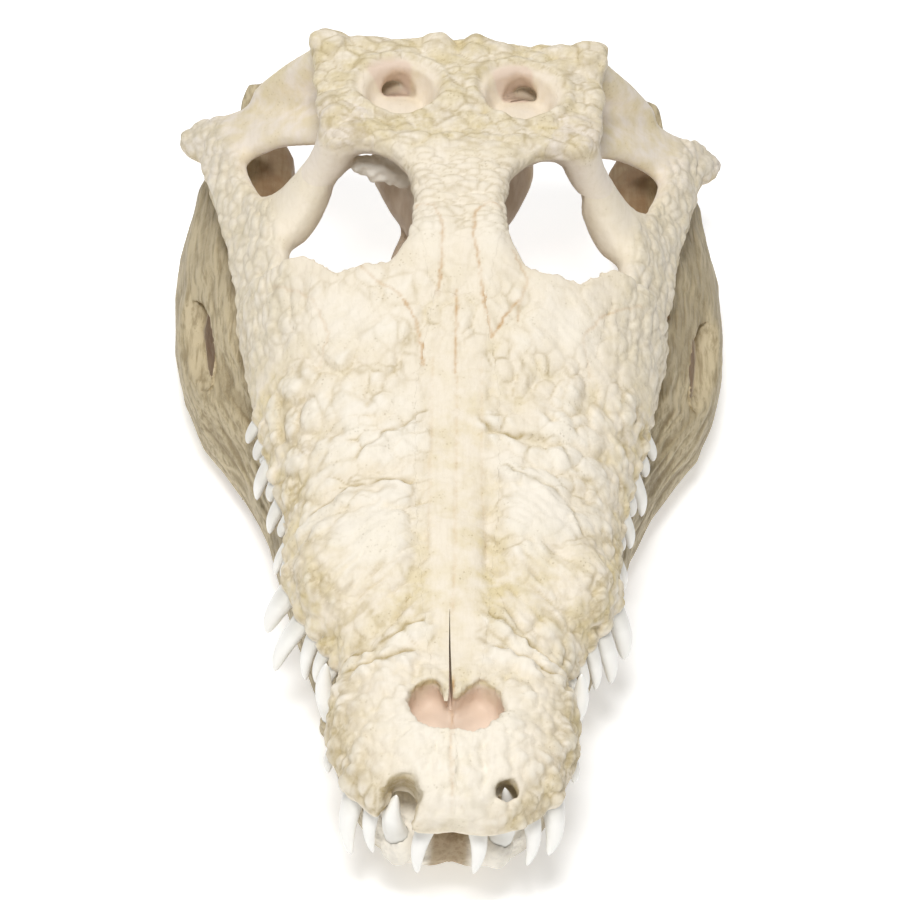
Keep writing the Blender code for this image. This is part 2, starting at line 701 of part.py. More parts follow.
def side_solids(work):
    """Solids of the animal's left side of the upper skull."""
    return [
        lofted("cheek", [cheek_ring(*row) for row in CHEEK], work),
        lofted("shelf", [shelf_ring(*row) for row in SHELF], work),
        lofted("wall", [wall_ring(*row) for row in BACK_WALL], work),
        lofted("brow", bar_rings(BROW_BAR), work),
        lofted("wing", bar_rings(WING), work),
        lofted("strut", bar_rings(OUTER_STRUT), work),
        ball("roller", ROLLER, work),
        ball("tooth_boss", TOOTH_BOSS, work),
        ball("corner", TABLE_CORNER, work),
    ]


def cheek_ring(y, inner_x, inner_z, outer_x, outer_z, thick):
    """Sloping slab under the line from the inner to the outer edge."""
    inner = Vector((inner_x, inner_z))
    outer = Vector((outer_x, outer_z))
    slope = (outer - inner).normalized()
    down = Vector((slope.y, -slope.x)) * thick
    return quad_ring(mm(inner.x + down.x, y, inner.y + down.y),
                     mm(outer.x + down.x, y, outer.y + down.y),
                     mm(outer.x, y, outer.y), mm(inner.x, y, inner.y))


def shelf_ring(x, front, back, height, thick):
    rear = height - SHELF_DROP
    return quad_ring(mm(x, front, height - thick), mm(x, back, rear - thick),
                     mm(x, back, rear), mm(x, front, height))


def wall_ring(x, front, back, top, low):
    return quad_ring(mm(x, front, low), mm(x, back, low), mm(x, back, top), mm(x, front, top))


def braincase_ring(y, half_above, half_below, top, low):
    return quad_ring(mm(-half_below, y, low), mm(half_below, y, low),
                     mm(half_above, y, top), mm(-half_above, y, top))


def upper_cutters(tools):
    """Openings of the upper skull."""
    orbit = prism("orbit", ORBIT, ORBIT_DEPTH, ABOVE, tools)
    window = prism("palate_window", PALATE_WINDOW, BELOW, PALATE_WINDOW_TOP, tools)
    pit = ball("temple_pit", TEMPLE_PIT, tools)
    shaft = ball("temple_shaft", TEMPLE_SHAFT, tools)
    cutters = []
    for cutter in (orbit, window, pit, shaft):
        cutters += both_sides(cutter, tools)
    naris = NARIS + [(-x, y) for x, y in reversed(NARIS[1:-1])]
    cutters.append(prism("naris", naris, NARIS_FLOOR, ABOVE, tools))
    cutters.append(ball("spinal_hole", SPINAL_HOLE, tools))
    cutters.append(tooth_hole("hole_right", TOOTH_HOLE_RIGHT, tools))
    cutters.append(tooth_hole("hole_left", TOOTH_HOLE_LEFT, tools))
    return cutters


def tooth_hole(name, stations, tools):
    """Hole in the snout that the lower front tooth stands in."""
    rings = []
    for x, y, z, half_width, half_depth in stations:
        rings.append([mm(x + cosine * half_width, y + sine * half_depth, z)
                      for cosine, sine in circle(RING_SIDES)])
    return lofted(name, rings, tools)


def jaw_ring(y, inner_low, outer_low, inner_high, outer_high, bulge, low, top):
    """Section of the lower jaw, whose side swells out at half its height."""
    ring = quad_ring(mm(inner_low, y, low), mm(outer_low, y, low),
                     mm(outer_high, y, top), mm(inner_high, y, top), JAW_POWER)
    inner_bulge = bulge if inner_low > 0 else 0.0
    middle = (inner_low + outer_low) / 2 * MM
    for point in ring:
        rise = (point.z / MM - low) / (top - low)
        swell = bulge if point.x > middle else inner_bulge
        point.x += swell * 4 * rise * (1 - rise) * MM
    return ring


def lower_solids(work):
    ramus = lofted("ramus", [jaw_ring(*row) for row in LOWER_JAW], work)
    boss = ball("jaw_boss", JAW_BOSS, work)
    return both_sides(ramus, work) + both_sides(boss, work)


def tooth_rings(base, lean_out, lean_forward, crown, radius, point_up, side):
    """Curved cone from a sunk root to a fine tip."""
    sign = 1.0 if point_up else -1.0
    fall = math.sqrt(max(crown ** 2 - lean_out ** 2 - lean_forward ** 2, 1.0))
    root = Vector(base)
    tip = root + Vector((lean_out, -lean_forward, sign * fall))
    axis = (tip - root).normalized()
    bow = TOOTH_BOW_WAY * crown * TOOTH_BOW
    small = crown < SMALL_CROWN
    waist = SMALL_WAIST if small else LARGE_WAIST
    sides = TOOTH_SIDES - 1 if small else TOOTH_SIDES
    shares = ((-TOOTH_ROOT / crown, ROOT_WIDTH), (0.0, 1.0)) + waist + ((1.0, TIP_WIDTH),)
    rings = []
    for share, width in shares:
        centre = root + axis * crown * share + bow * math.sin(math.pi * max(share, 0.0))
        ring = []
        for cosine, sine in circle(sides):
            spot = centre + Vector((cosine, sine, 0.0)) * radius * width
            ring.append(mm(spot.x * side, spot.y, spot.z))
        rings.append(ring)
    return rings


def add_teeth(named, name, rows, side, point_up, work):
    """Fuse a row of teeth into the bone that holds it."""
    bone = named[name]
    teeth = bpy.data.collections.new("teeth")
    bpy.context.scene.collection.children.link(teeth)
    for index, (x, y, z, out, forward, crown, radius) in enumerate(rows):
        rings = tooth_rings((x, y, z), out, forward, crown, radius, point_up, side)
        lofted("tooth_%d" % index, rings, teeth)
    union = bone.modifiers.new("teeth", "BOOLEAN")
    union.operation = "UNION"
    union.operand_type = "COLLECTION"
    union.collection = teeth
    union.solver = "MANIFOLD"
    whole = evaluated_copy(bone, name, work)
    for obj in list(teeth.objects):
        bpy.data.objects.remove(obj, do_unlink=True)
    bpy.data.collections.remove(teeth)
    keep_largest(whole)
    named[name] = whole


def part_off(whole, name, outline, low, high, side, work):
    """Take the bone inside an outline off the whole and leave a thin gap."""
    plan = [(x * side, y) for x, y in outline]
    block = prism("block", plan, low, high, work)
    bone = combine(whole, block, "INTERSECT", name, work)
    grown = prism("grown", plan, low, high, work, GAP)
    rest = combine(whole, grown, "DIFFERENCE", "rest", work)
    for used in (block, grown, whole):
        bpy.data.objects.remove(used, do_unlink=True)
    bone.name = name
    keep_largest(bone)
    return bone, rest


def part_bones(whole, bones, work):
    named = {}
    for name, outline, low, high, paired in bones:
        if paired:
            for word, side in SIDES:
                bone, whole = part_off(whole, name + "_" + word, outline, low, high, side, work)
                named[bone.name] = bone
        else:
            bone, whole = part_off(whole, name, outline, low, high, 1.0, work)
            named[bone.name] = bone
    return named, whole


def build_upper(work, tools):
    whole = fuse("upper", upper_solids(work), upper_cutters(tools), UPPER_FACES, work)
    named, rest = part_bones(whole, UPPER_BONES, work)
    rest.name = "braincase"
    keep_largest(rest)
    named["braincase"] = rest
    for word, side in SIDES:
        side_rows = UPPER_SIDE_TEETH + UPPER_LARGE_TEETH[word]
        add_teeth(named, "premaxilla_" + word, UPPER_FRONT_TEETH[word], side, False, work)
        add_teeth(named, "maxilla_" + word, side_rows, side, False, work)
    return named


def build_lower(work, tools):
    windows = both_sides(ball("jaw_window", JAW_WINDOW, tools), tools)
    whole = fuse("lower", lower_solids(work), windows, LOWER_FACES, work)
    whole.data.transform(Matrix.Translation(mm(JAW_SHIFT, 0.0, 0.0)))
    floor = prism("floor", FLOOR_OUTLINE, BELOW, 0.0, tools)
    flat = combine(whole, floor, "DIFFERENCE", "lower_flat", work)
    bpy.data.objects.remove(whole, do_unlink=True)
    named, rest = part_bones(flat, LOWER_BONES, work)
    bpy.data.objects.remove(rest, do_unlink=True)
    for word, side in SIDES:
        rows = LOWER_TEETH + LOWER_FRONT_TEETH[word]
        add_teeth(named, "dentary_" + word, rows, side, True, work)
    return named


def place_on_floor(bones):
    """Move the bones so that the origin is under the middle of the footprint."""
    points = [vert.co for bone in bones for vert in bone.data.vertices]
    low = Vector([min(p[axis] for p in points) for axis in range(3)])
    high = Vector([max(p[axis] for p in points) for axis in range(3)])
    shift = Vector(((low.x + high.x) / 2, (low.y + high.y) / 2, low.z))
    for bone in bones:
        for vert in bone.data.vertices:
            vert.co -= shift


def main():
    clear_scene()
    skull = new_collection("crocodile_skull")
    tools = new_collection("cutters")
    work = new_collection("work")
    bones = build_upper(work, tools)
    bones.update(build_lower(work, tools))
    for cutter in list(tools.objects):
        bpy.data.objects.remove(cutter, do_unlink=True)
    place_on_floor(list(bones.values()))
    for name, bone in bones.items():
        work.objects.unlink(bone)
        skull.objects.link(bone)
        bone.name = name
        bone.data.materials.clear()
        bone.data.materials.append(bone_material(name, bone_color(name)))
        bone.data.shade_smooth()
        bone.data.set_sharp_from_angle(angle=math.radians(SHARP_ANGLE))
    bpy.data.collections.remove(work)


main()
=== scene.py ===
"""Looks of a life-size crocodile skull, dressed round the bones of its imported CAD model.

The upper skull and the lower jaw are each made whole from copies of their CAD
bones: the copies are freed of their teeth, fused at a fine grain and sculpted with
the relief of the real bone.  They are then parted again along wavy sutures, so
that every piece stands for one CAD bone, and the teeth are set in their sockets.

Lengths in the tables are millimetres in the builder's own plan of the skull: from
the tip of the snout back along Y, out from the midline along X, up from the floor.
"""

import math

import bmesh
import bpy
import numpy as np
from bpy.props import FloatProperty, FloatVectorProperty, IntProperty, PointerProperty
from mathutils import Matrix, Vector


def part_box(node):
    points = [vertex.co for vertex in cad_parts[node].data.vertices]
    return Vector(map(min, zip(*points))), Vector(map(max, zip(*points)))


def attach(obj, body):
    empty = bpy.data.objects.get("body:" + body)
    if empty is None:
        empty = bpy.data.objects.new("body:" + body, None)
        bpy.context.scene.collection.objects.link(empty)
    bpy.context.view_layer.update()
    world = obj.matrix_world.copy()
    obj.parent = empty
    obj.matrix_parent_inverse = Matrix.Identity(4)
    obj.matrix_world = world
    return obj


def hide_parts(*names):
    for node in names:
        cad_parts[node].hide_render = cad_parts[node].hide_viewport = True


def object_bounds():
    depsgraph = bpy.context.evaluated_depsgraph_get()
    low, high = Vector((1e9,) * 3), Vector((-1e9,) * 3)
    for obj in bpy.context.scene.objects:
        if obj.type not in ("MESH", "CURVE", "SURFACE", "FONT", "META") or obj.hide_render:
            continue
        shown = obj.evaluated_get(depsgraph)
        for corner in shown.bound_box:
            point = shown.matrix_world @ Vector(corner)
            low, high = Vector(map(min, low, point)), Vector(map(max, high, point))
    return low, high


bl_info = {
    "name": "Crocodile Skull",
    "version": (1, 0, 0),
    "blender": (4, 5, 0),
    "location": "View3D > Sidebar > Skull",
    "description": "Bones, teeth and stage of a life-size crocodile skull",
    "category": "Object",
}

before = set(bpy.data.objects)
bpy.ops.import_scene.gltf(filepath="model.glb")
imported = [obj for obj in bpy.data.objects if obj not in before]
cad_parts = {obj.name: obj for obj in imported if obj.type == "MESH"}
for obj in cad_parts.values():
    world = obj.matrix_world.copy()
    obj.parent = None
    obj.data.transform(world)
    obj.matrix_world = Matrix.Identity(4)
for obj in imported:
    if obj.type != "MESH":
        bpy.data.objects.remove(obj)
CAD_BOX = [list(corner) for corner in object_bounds()]

MM = 0.001                 # one millimetre in metres
MASKS = ("crease", "stain", "pink", "rough", "suture", "wear", "inner", "bleach")
MEND_PASSES = 4            # rings of cut vertices that take over their neighbours' masks
BODY = "root"
MERGE = 1e-6               # vertices nearer than this are one
LATTICE = 64               # cells after which the noise repeats
CAP_FLOOR = 0.15           # height between the caps
NASALS_BACK = 274.0        # place of two CAD faces in the plan, which sets its origin
MIDLINE_FACE = 0.15
SHIFT = np.array([
    MIDLINE_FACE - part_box("premaxilla_left")[0].x / MM,
    NASALS_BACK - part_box("nasals")[1].y / MM,
    0.0,
])
SIDES = (("left", 1.0), ("right", -1.0))
TOOTHED = [kind + "_" + word for kind in ("premaxilla", "maxilla", "dentary") for word, _ in SIDES]
OVER = 200.0               # heights over and under the whole skull
UNDER = -30.0
FAR_SIDE = 6.0             # how far a right-hand block reaches over the midline
INFLATE = 0.25             # closes the thin gaps between the CAD bones
CLEARANCE = 0.05           # what keeps every piece inside the box of the CAD model
WAVE_REACH = 0.45          # how far a suture swings, and how finely it is drawn
WAVE_STEP = 1.6
WAVE_LIMIT = 125.0         # an outline beyond this is outside the skull and stays straight
SHARP_ANGLE = 60.0
FEWEST_OF_WHOLE = 2000     # faces that a loose shell needs, so as not to be a scrap
FEWEST_OF_BONE = 400
BARE_SLEEVE = (0.6, 1.5, 1.06)    # play, root and reach of the sleeves that free a bone of its teeth
SOCKET_SLEEVE = (0.3, 4.0, 1.0)   # and of those that cut the sockets
CROWN_HEIGHT = 18.0        # over which the enamel turns from base to tip

# Teeth of each side: base (x, y, z), lean out, lean forward, crown, root radius
UPPER_FRONT_TEETH = {
    "left": [
        (9.5, 2, 61, 0.5, 5, 25, 4),
        (32, 9, 61, 0.5, 4, 27, 3.8),
        (41, 17, 61, 0.5, 6, 27, 4.8),
        (49.5, 40, 62.5, 2, 2, 12, 2.8),
    ],
    "right": [
        (9.5, 2, 61, 3.5, 4, 27, 4),
        (32.5, 10, 61, -1, 4, 24, 3.4),
        (40, 17, 61, 0.5, 6, 31, 4.6),
        (49.5, 40, 62.5, 2, 2, 12, 2.8),
    ],
}
UPPER_LARGE_TEETH = {
    "left": [
        (59, 108, 64, 4, 5, 21, 3.6),
        (63.5, 119, 64, 7, 6, 27, 4.8),
        (69, 134, 64, 8, 4, 28, 5.8),
    ],
    "right": [
        (59, 108, 64, 3, 5, 22, 3.6),
        (63.5, 119, 64, 12, 5, 30, 5),
        (69, 138, 64, 10.5, 2, 27, 5.8),
    ],
}
UPPER_SIDE_TEETH = [
    (50, 89, 64, 3, 2, 13, 2.6),
    (54.5, 98, 64, 3, 3, 16, 3),
    (70.5, 152, 66, 4, 2, 16, 3.6),
    (71.5, 164, 67, 4, 1, 13, 3),
    (73, 177, 68, 4, 1, 14, 3.2),
    (75.5, 190, 69, 4, 1, 15, 3.6),
    (78, 203, 69, 4, 1, 16, 3.8),
    (81, 216, 70, 4, 1, 15, 3.8),
    (84.5, 229, 71, 4, 0.5, 13, 3.6),
    (87.5, 241, 72, 4, 0.5, 11, 3.4),
]
# How long the crown of an upper side tooth is, by its place back, where 1 is the usual
GROWTH = {152: 0.6, 164: 1.4, 177: 0.6, 190: 1.25, 203: 0.7, 216: 1.5, 229: 0.9, 241: 1.2}
LOWER_FRONT_TEETH = {
    "left": [(20.5, 10, 45, 0, 3, 32, 5)],
    "right": [(22, 10.5, 44, 1.5, 3, 26, 5)],
}
LOWER_TEETH = [
    (31, 28, 49, 0, 1, 10, 2.8),
    (37, 46, 51, 0, 1, 9, 2.8),
    (50, 78.5, 47, 4, 0, 29, 5),
    (44, 96, 52, 0, 0, 8.5, 2.8),
    (48, 110, 52, 0, 0, 8, 2.8),
    (52, 126, 52, 0, 0, 7, 2.8),
    (56, 142, 53, 0, 0, 7.5, 3),
    (60, 158, 54, 0, 0, 8.5, 3.2),
    (64.5, 175, 55, 0, 0, 8.5, 3.2),
    (69, 191, 56, 0, 0, 8.5, 3.4),
    (73.5, 207, 57, 0, 0, 8.5, 3.4),
    (79, 223, 58, 0, 0, 8, 3.2),
    (84, 238, 58.5, 0, 0, 7.5, 3),
]

# Tips of the nasal bones: base, tip and radius of the base
NASAL_SPIKES = [
    ((-6.2, 60, 87.6), (-4, 44.5, 86.6), 3.4),
    ((2.6, 61, 87.6), (-0.5, 47.5, 86.8), 3.4),
]
# Bone seen deep inside: centre, half sizes and turns about X and Y
INNER_BONE = [
    ((-36.5, 381.5, 114), (21, 5, 6.5), 0, 18),
    ((28.5, 407, 128), (21, 23, 8.5), -17, 0),
    ((-29, 406, 128), (21, 23, 8.5), -17, 0),
]
# Cracks cut in the roof: how far down and up, and their places with half widths
CRACKS = [
    (80, OVER, [(-2.1, 43, 1.1), (-2.5, 60, 0.55), (-2.7, 98, 0.1)]),
    (118, 136, [(24.5, 413, 0.5), (27, 416, 1.7), (31, 421, 1.3), (38, 428, 0.7)]),
    (118, 136, [(-38, 427, 1.2), (-34.5, 423, 0.9), (-30, 417, 0.4)]),
]
# Holes through the front of the snout, their walls darkened with painted shade: centre and radius
TOOTH_HOLES = [(-21.2, 2.5, 9.5), (20.8, 5, 7.5)]
# Thin bone in the temple pits: centre and half sizes
PIT_SKIN = [(-34, 422, 11, 9), (25, 421, 10, 9)]
# Smooth swellings where the relief fades: centre and half sizes
SMOOTH_PATCHES = [
    (-34, 138, 17, 17), (36, 153, 13, 16), (21, 181, 8, 9),
    (-52, 262, 18, 16), (50, 262, 16, 15), (-14.6, 305, 8, 16),
    (14.6, 306, 8, 16), (-24, 215, 9, 10),
]


def mirrored(side):
    """Outline that is alike on both sides, from the places of its left side."""
    (x, y), *others = side
    return [(-x, y)] + side + [(-x, y) for x, y in reversed(others)]


def rectangle(low_x, low_y, high_x, high_y):
    """Outline of an upright rectangle."""
    return [(low_x, low_y), (high_x, low_y), (high_x, high_y), (low_x, high_y)]


# Sutures seen from above, as outlines that each bone is parted by
NASAL_OUTLINE = mirrored([(8, 38), (10.5, 64), (14, 100), (18, 160), (18.5, 225), (11, 274)])
FRONTAL_OUTLINE = mirrored([(11, 262), (17, 300), (24, 318), (34, 345), (46, 384)])
PREMAXILLA_OUTLINE = [
    (0, -30), (80, -30), (80, 79), (46, 79), (26, 92),
    (16, 112), (0, 112),
]
LACRIMAL_OUTLINE = [
    (6, 236), (44, 224), (62, 250), (68, 278), (64, 312),
    (16, 322), (8, 276),
]
MAXILLA_OUTLINE = [
    (0, 60), (120, 60), (120, 246), (88, 246), (74, 262),
    (66, 316), (0, 316),
]
POSTORBITAL_OUTLINE = [
    (34, 340), (96, 340), (96, 392), (50, 392), (44, 386),
]
SQUAMOSAL_OUTLINE = [
    (46, 391), (96, 391), (96, 480), (32, 480), (28, 428),
    (46, 420),
]
PARIETAL_OUTLINE = mirrored([(48, 378), (55, 390), (55, 424), (34, 432), (33, 480)])
JUGAL_OUTLINE = [
    (60, 238), (150, 238), (150, 426), (96, 404), (60, 396),
]
QUADRATE_OUTLINE = rectangle(33, 382, 150, 500)
PTERYGOID_OUTLINE = rectangle(-110, 290, 110, 408)
DENTARY_OUTLINE = rectangle(0, -20, 150, 300)
REAR_JAW_OUTLINE = rectangle(0, 288, 150, 446)
ARTICULAR_OUTLINE = rectangle(0, 400, 160, 600)

# Bones in the order they are parted: name, plan, underside, top, one on each side
UPPER_BONES = [
    ("nasals", NASAL_OUTLINE, 84, OVER, False),
    ("premaxilla", PREMAXILLA_OUTLINE, 0, OVER, True),
    ("frontal", FRONTAL_OUTLINE, 108, OVER, False),
    ("lacrimal", LACRIMAL_OUTLINE, 100, OVER, True),
    ("maxilla", MAXILLA_OUTLINE, 0, OVER, True),
    ("postorbital", POSTORBITAL_OUTLINE, 116, OVER, True),
    ("squamosal", SQUAMOSAL_OUTLINE, 126, OVER, True),
    ("parietal", PARIETAL_OUTLINE, 126, OVER, False),
    ("jugal", JUGAL_OUTLINE, 64, OVER, True),
    ("pterygoid", PTERYGOID_OUTLINE, 0, 80, False),
    ("quadrate", QUADRATE_OUTLINE, 0, OVER, True),
]
LOWER_BONES = [
    ("dentary", DENTARY_OUTLINE, UNDER, OVER, True),
    ("surangular", REAR_JAW_OUTLINE, 46, OVER, True),
    ("angular", REAR_JAW_OUTLINE, UNDER, OVER, True),
    ("articular", ARTICULAR_OUTLINE, UNDER, OVER, True),
]
UPPER_LAST = "braincase"
SMOOTH_BONES = ("quadrate", "braincase", "pterygoid", "postorbital")

# Inner edge of the cheek, as distance back and distance out
CHEEK_EDGE = [
    (236, 60), (262, 70), (290, 76), (316, 81), (345, 84),
    (370, 88), (392, 95), (415, 103), (440, 108), (470, 112),
]
# Half width of the snout, as distance back and distance out
SNOUT_EDGE = [
    (-7, 22), (4, 36), (16, 45), (33, 52), (60, 53), (79, 48),
    (104, 58), (132, 72), (175, 75), (198, 79), (220, 84),
    (245, 90.5), (305, 101),
]
# Outer face of the lower jaw, as distance back and distance out
JAW_EDGE = [
    (9, 13), (28, 33), (64, 42), (98, 48), (125, 54), (170, 64),
    (212, 75), (249, 88), (288, 104), (316, 110), (350, 113),
    (385, 115), (412, 117), (436, 118), (476, 112), (521, 104),
]
# Half width of the raised strip of the nasal bones
NASAL_STRIP = [
    (60, 6), (85, 9), (120, 12), (160, 12), (200, 12),
    (235, 13), (262, 12),
]

# Lines drawn in the snout's roof, each as its height, half width and its points
FOLDS = [
    (2, 2.4, [(-66, 150), (-55.6, 157.3), (-45.8, 166.6), (-33.2, 168.1), (-21.3, 166.3)]),
    (0.9, 2, [(-58.9, 145), (-49.3, 158.3), (-37.6, 161.3), (-24.9, 158.8)]),
    (0.9, 2, [(-58.9, 177), (-54.7, 195.2), (-45.6, 199)]),
    (1.9, 2.4, [(-44, 181), (-38, 186.9), (-32.6, 192.6), (-25.3, 197.2), (-14.4, 207.7)]),
    (0.8, 2.2, [(-26, 232.8), (-29.7, 227.3), (-41.9, 231.4), (-51, 224.9)]),
    (2, 2.4, [(9.8, 205), (15.4, 197.6), (26.6, 195.4), (37.8, 196.1), (46.3, 191), (53, 181)]),
    (1.9, 2.2, [(20, 177), (31.1, 171.4), (41.2, 165.6), (49.5, 156.8), (56, 144)]),
    (0.9, 2, [(27.5, 239.2), (30.4, 228.3), (32.3, 219.5), (39, 209.3)]),
    (0.9, 2, [(46.5, 239.1), (51.3, 232.5), (55.1, 222.8)]),
    (3.4, 3, [(-50, 63), (-40, 65.5), (-29.3, 67.6), (-17.5, 71.5)]),
    (3.3, 3, [(50, 63), (40, 65), (30, 69.6), (18, 74.5)]),
    (3, 2.6, [(-46, 73), (-33.7, 75), (-24.3, 82.9), (-14.1, 88)]),
    (3, 2.6, [(44, 73), (32, 79), (23.8, 86.6), (15, 93)]),
]
# Fine sutures of the roof: depth, brownness and places
SUTURES = [
    (0.22, 0.9, [(-24.9, 270), (-19, 258.6), (-16.4, 244.3), (-15.5, 236)]),
    (0.22, 0.9, [(26.4, 272), (19.8, 261.8), (15.1, 252)]),
    (0.15, 0.7, [(11.1, 271), (13.1, 261.3), (15.1, 252)]),
    (0.25, 0.8, [(-1.2, 275), (-1, 253.8), (-1.2, 232)]),
    (0.30, 0.25, [(-0.6, 232), (-0.4, 180), (-0.8, 130), (-1.6, 96)]),
    (0.28, 0.18, [(-11.5, 240), (-11.6, 200), (-11.8, 160), (-12.6, 130)]),
    (0.28, 0.18, [(10.4, 240), (10.8, 200), (11.2, 160), (13.2, 128)]),
    (0.26, 0.75, [(6.8, 316.9), (12.7, 323.8), (19.5, 323.1), (24, 318)]),
    (0.26, 0.75, [(6.8, 316.9), (6, 304), (8.6, 290), (11, 271)]),
    (0.26, 0.75, [(-23.6, 318.5), (-19.5, 323.6), (-12.7, 321.2), (-8.3, 309.5)]),
    (0.26, 0.75, [(-8.3, 309.5), (-8, 289.7), (-10, 272)]),
    (0.16, 0.45, [(24, 300), (31, 284), (27, 270), (26.4, 262)]),
    (0.16, 0.45, [(-46, 292), (-38, 281), (-26, 272)]),
    (0.16, 0.35, [(-84, 292), (-66, 276), (-58, 255), (-62, 240)]),
    (0.16, 0.35, [(84, 290), (66, 274), (56, 258), (60, 240)]),
    (0.60, 0.55, [(-1.8, 30), (-2.4, 16), (-1.4, 4), (-1, -7)]),
    (0.90, 0.80, [(-1.6, 58), (-1.2, 44), (-1.8, 30)]),
]
JAW_NARROWER = 4.0         # how far the outer face of the lower jaw is drawn in
WINDOW_HEIGHT = 45.0       # middle of the jaw's side window, and what narrows it
WINDOW_REACH = 12.0
WINDOW_PINCH = 0.62
MUZZLE_MIDDLE = 40.0       # the nostril's place back, and what its rays are unrolled with
MUZZLE_ROUND = 42.0
MUZZLE_TOP = 91.0
RELAX = 0.6                # share of the way to its neighbours that a vertex moves in a pass
RIM_PASSES = 30
BAR_PASSES = 110
BAR_SWELL = 2.0            # makes up for what the smoothing takes off the bars
BAR_TOP = (56, 138)        # distance out and height of the ends of a bar behind the orbit
BAR_FOOT = (82, 88)
PIT = (29, 409, 20, 19)    # centre and half sizes of a temple pit and of the nostril
NARIS = (0, 44, 21, 15.5)
KINDS = ("snout", "front", "top", "cheek")
# Masks as steps that are multiplied: what is measured, where it gives 0 and where 1
STEPS = {
    "snout": [("y", 304, 272), ("up", -0.35, 0)],
    "front": [("y", 296, 312), ("y", 374, 360), ("z", 128, 134), ("up", -0.35, 0)],
    "top": [("y", 352, 372), ("z", 132, 138), ("up", -0.5, -0.1)],
    "cheek": [("y", 238, 268), ("past cheek", -5, 5), ("z", 60, 72)],
    "cheek face": [("up", -0.6, -0.2)],
    "knob": [("y", 425, 452), ("out", 118, 106)],
    "pit": [("from pit", 1.10, 0.86), ("z", 100, 120)],
    "naris": [("from naris", 1.04, 0.9), ("z", 70, 76), ("z", 87.5, 86)],
    "roof": [("up", 0.15, 0.6), ("z", 70, 80)],
    "snout side": [("edge", 0.62, 1)],
    "muzzle": [("y", 86, 64)],
    "calm": [("y", 226, 268), ("edge", 0.95, 0.55)],
    "across": [("y", 118, 134), ("y", 226, 200)],
    "strip": [("past strip", 1.5, -2), ("y", 54, 66), ("y", 262, 236)],
    "groove": [("y", 100, 125), ("y", 245, 225)],
    "bars": [("from bar", 18, 12), ("y", 328, 338), ("y", 404, 394), ("z", 139, 130), ("z", 80, 86)],
    "rims": [("y", 312, 330), ("out", 22, 30), ("z", 140, 134), ("z", 70, 80), ("y", 490, 470)],
    "ragged": [("back", 0.25, 0.6), ("z", 96, 104), ("y", 280, 286), ("y", 312, 302), ("out", 26, 32),
               ("out", 76, 68)],
    # case and below: the braincase's walls under the table and low faces that look down, which get painted
    # shade
    "case": [("out", 40, 34), ("y", 312, 326), ("y", 452, 440), ("z", 134, 126)],
    "below": [("down", 0.2, 0.7), ("z", 66, 76)],
    "hole": [("z", 84, 78), ("up", 0.7, 0.3)],
    "white patch": [("z", 70, 90)],
    # white tip and white cheek: where painted light goes on the front of the snout and on the cheeks
    "white tip": [("y", 60, 34), ("edge", 0.8, 0.35)],
    "white cheek": [("up", -0.2, 0.4)],
    # underside_shade: faces that look down, which get painted shade
    "underside_shade": [("down", -0.35, 0.15)],
    "naris shade": [("y", 46, 57)],
    "little wear": [("y", 250, 300), ("edge", 0.95, 0.6)],
    "old side": [("edge", 0.7, 1.05)],
    "old back": [("y", 396, 430)],
    "old front": [("down", -0.75, -0.25), ("y", 20, 60)],
    "old strip": [("past strip", 1.5, -2), ("y", 260, 200)],
    "jaw outside": [("outward", -0.1, 0.3)],
    "jaw rear": [("y", 285, 330)],
    "jaw slim": [("y", 150, 200)],
    "jaw tip": [("y", 40, 14)],
    "jaw hollow": [("out", 11, 6), ("y", 24, 14), ("z", 14, 26)],
    "jaw ledge": [("y", 290, 300), ("y", 372, 362), ("z", 30, 36), ("inside jaw", 9.5, 6.5)],
    "jaw walls": [("y", 40, 90)],
    "window": [("y", 282, 298), ("y", 380, 364)],
}
TINTS = ("Pale", "Crease Tint", "Stain Tint", "Pink Tint", "Suture Tint", "Inner Tint", "Bleach Tint")
SUTURE_TINT = (0.52, 0.30, 0.11, 1.0)
# Painted shade on the braincase's deep walls and on low faces that look down
INNER_TINT = (0.50, 0.39, 0.29, 1.0)
# Colour of whiter bone: painted light and highlights, and the paler tip of the lower jaw
WHITENING_AND_LIGHT_TINT = (0.94, 0.90, 0.82, 1.0)
# Painted shade on the jaw's inner walls, and the dark brown of the hollow at its tip
JAW_INNER_TINT = (0.27, 0.165, 0.085, 1.0)
CAMERA_AZIMUTH = -2.90     # the photograph's view: angles in degrees, distance in metres
CAMERA_ELEVATION = 39.59
CAMERA_ROLL = 4.33
CAMERA_DISTANCE = 1.8
CAMERA_LENS = 162.26
CAMERA_SENSOR = 36.0
CAMERA_TARGET = (-2.25, 205.6, 90.0)
FOLD_GROOVE = np.array((0, -4.2, 0))     # from a fold to the groove behind it
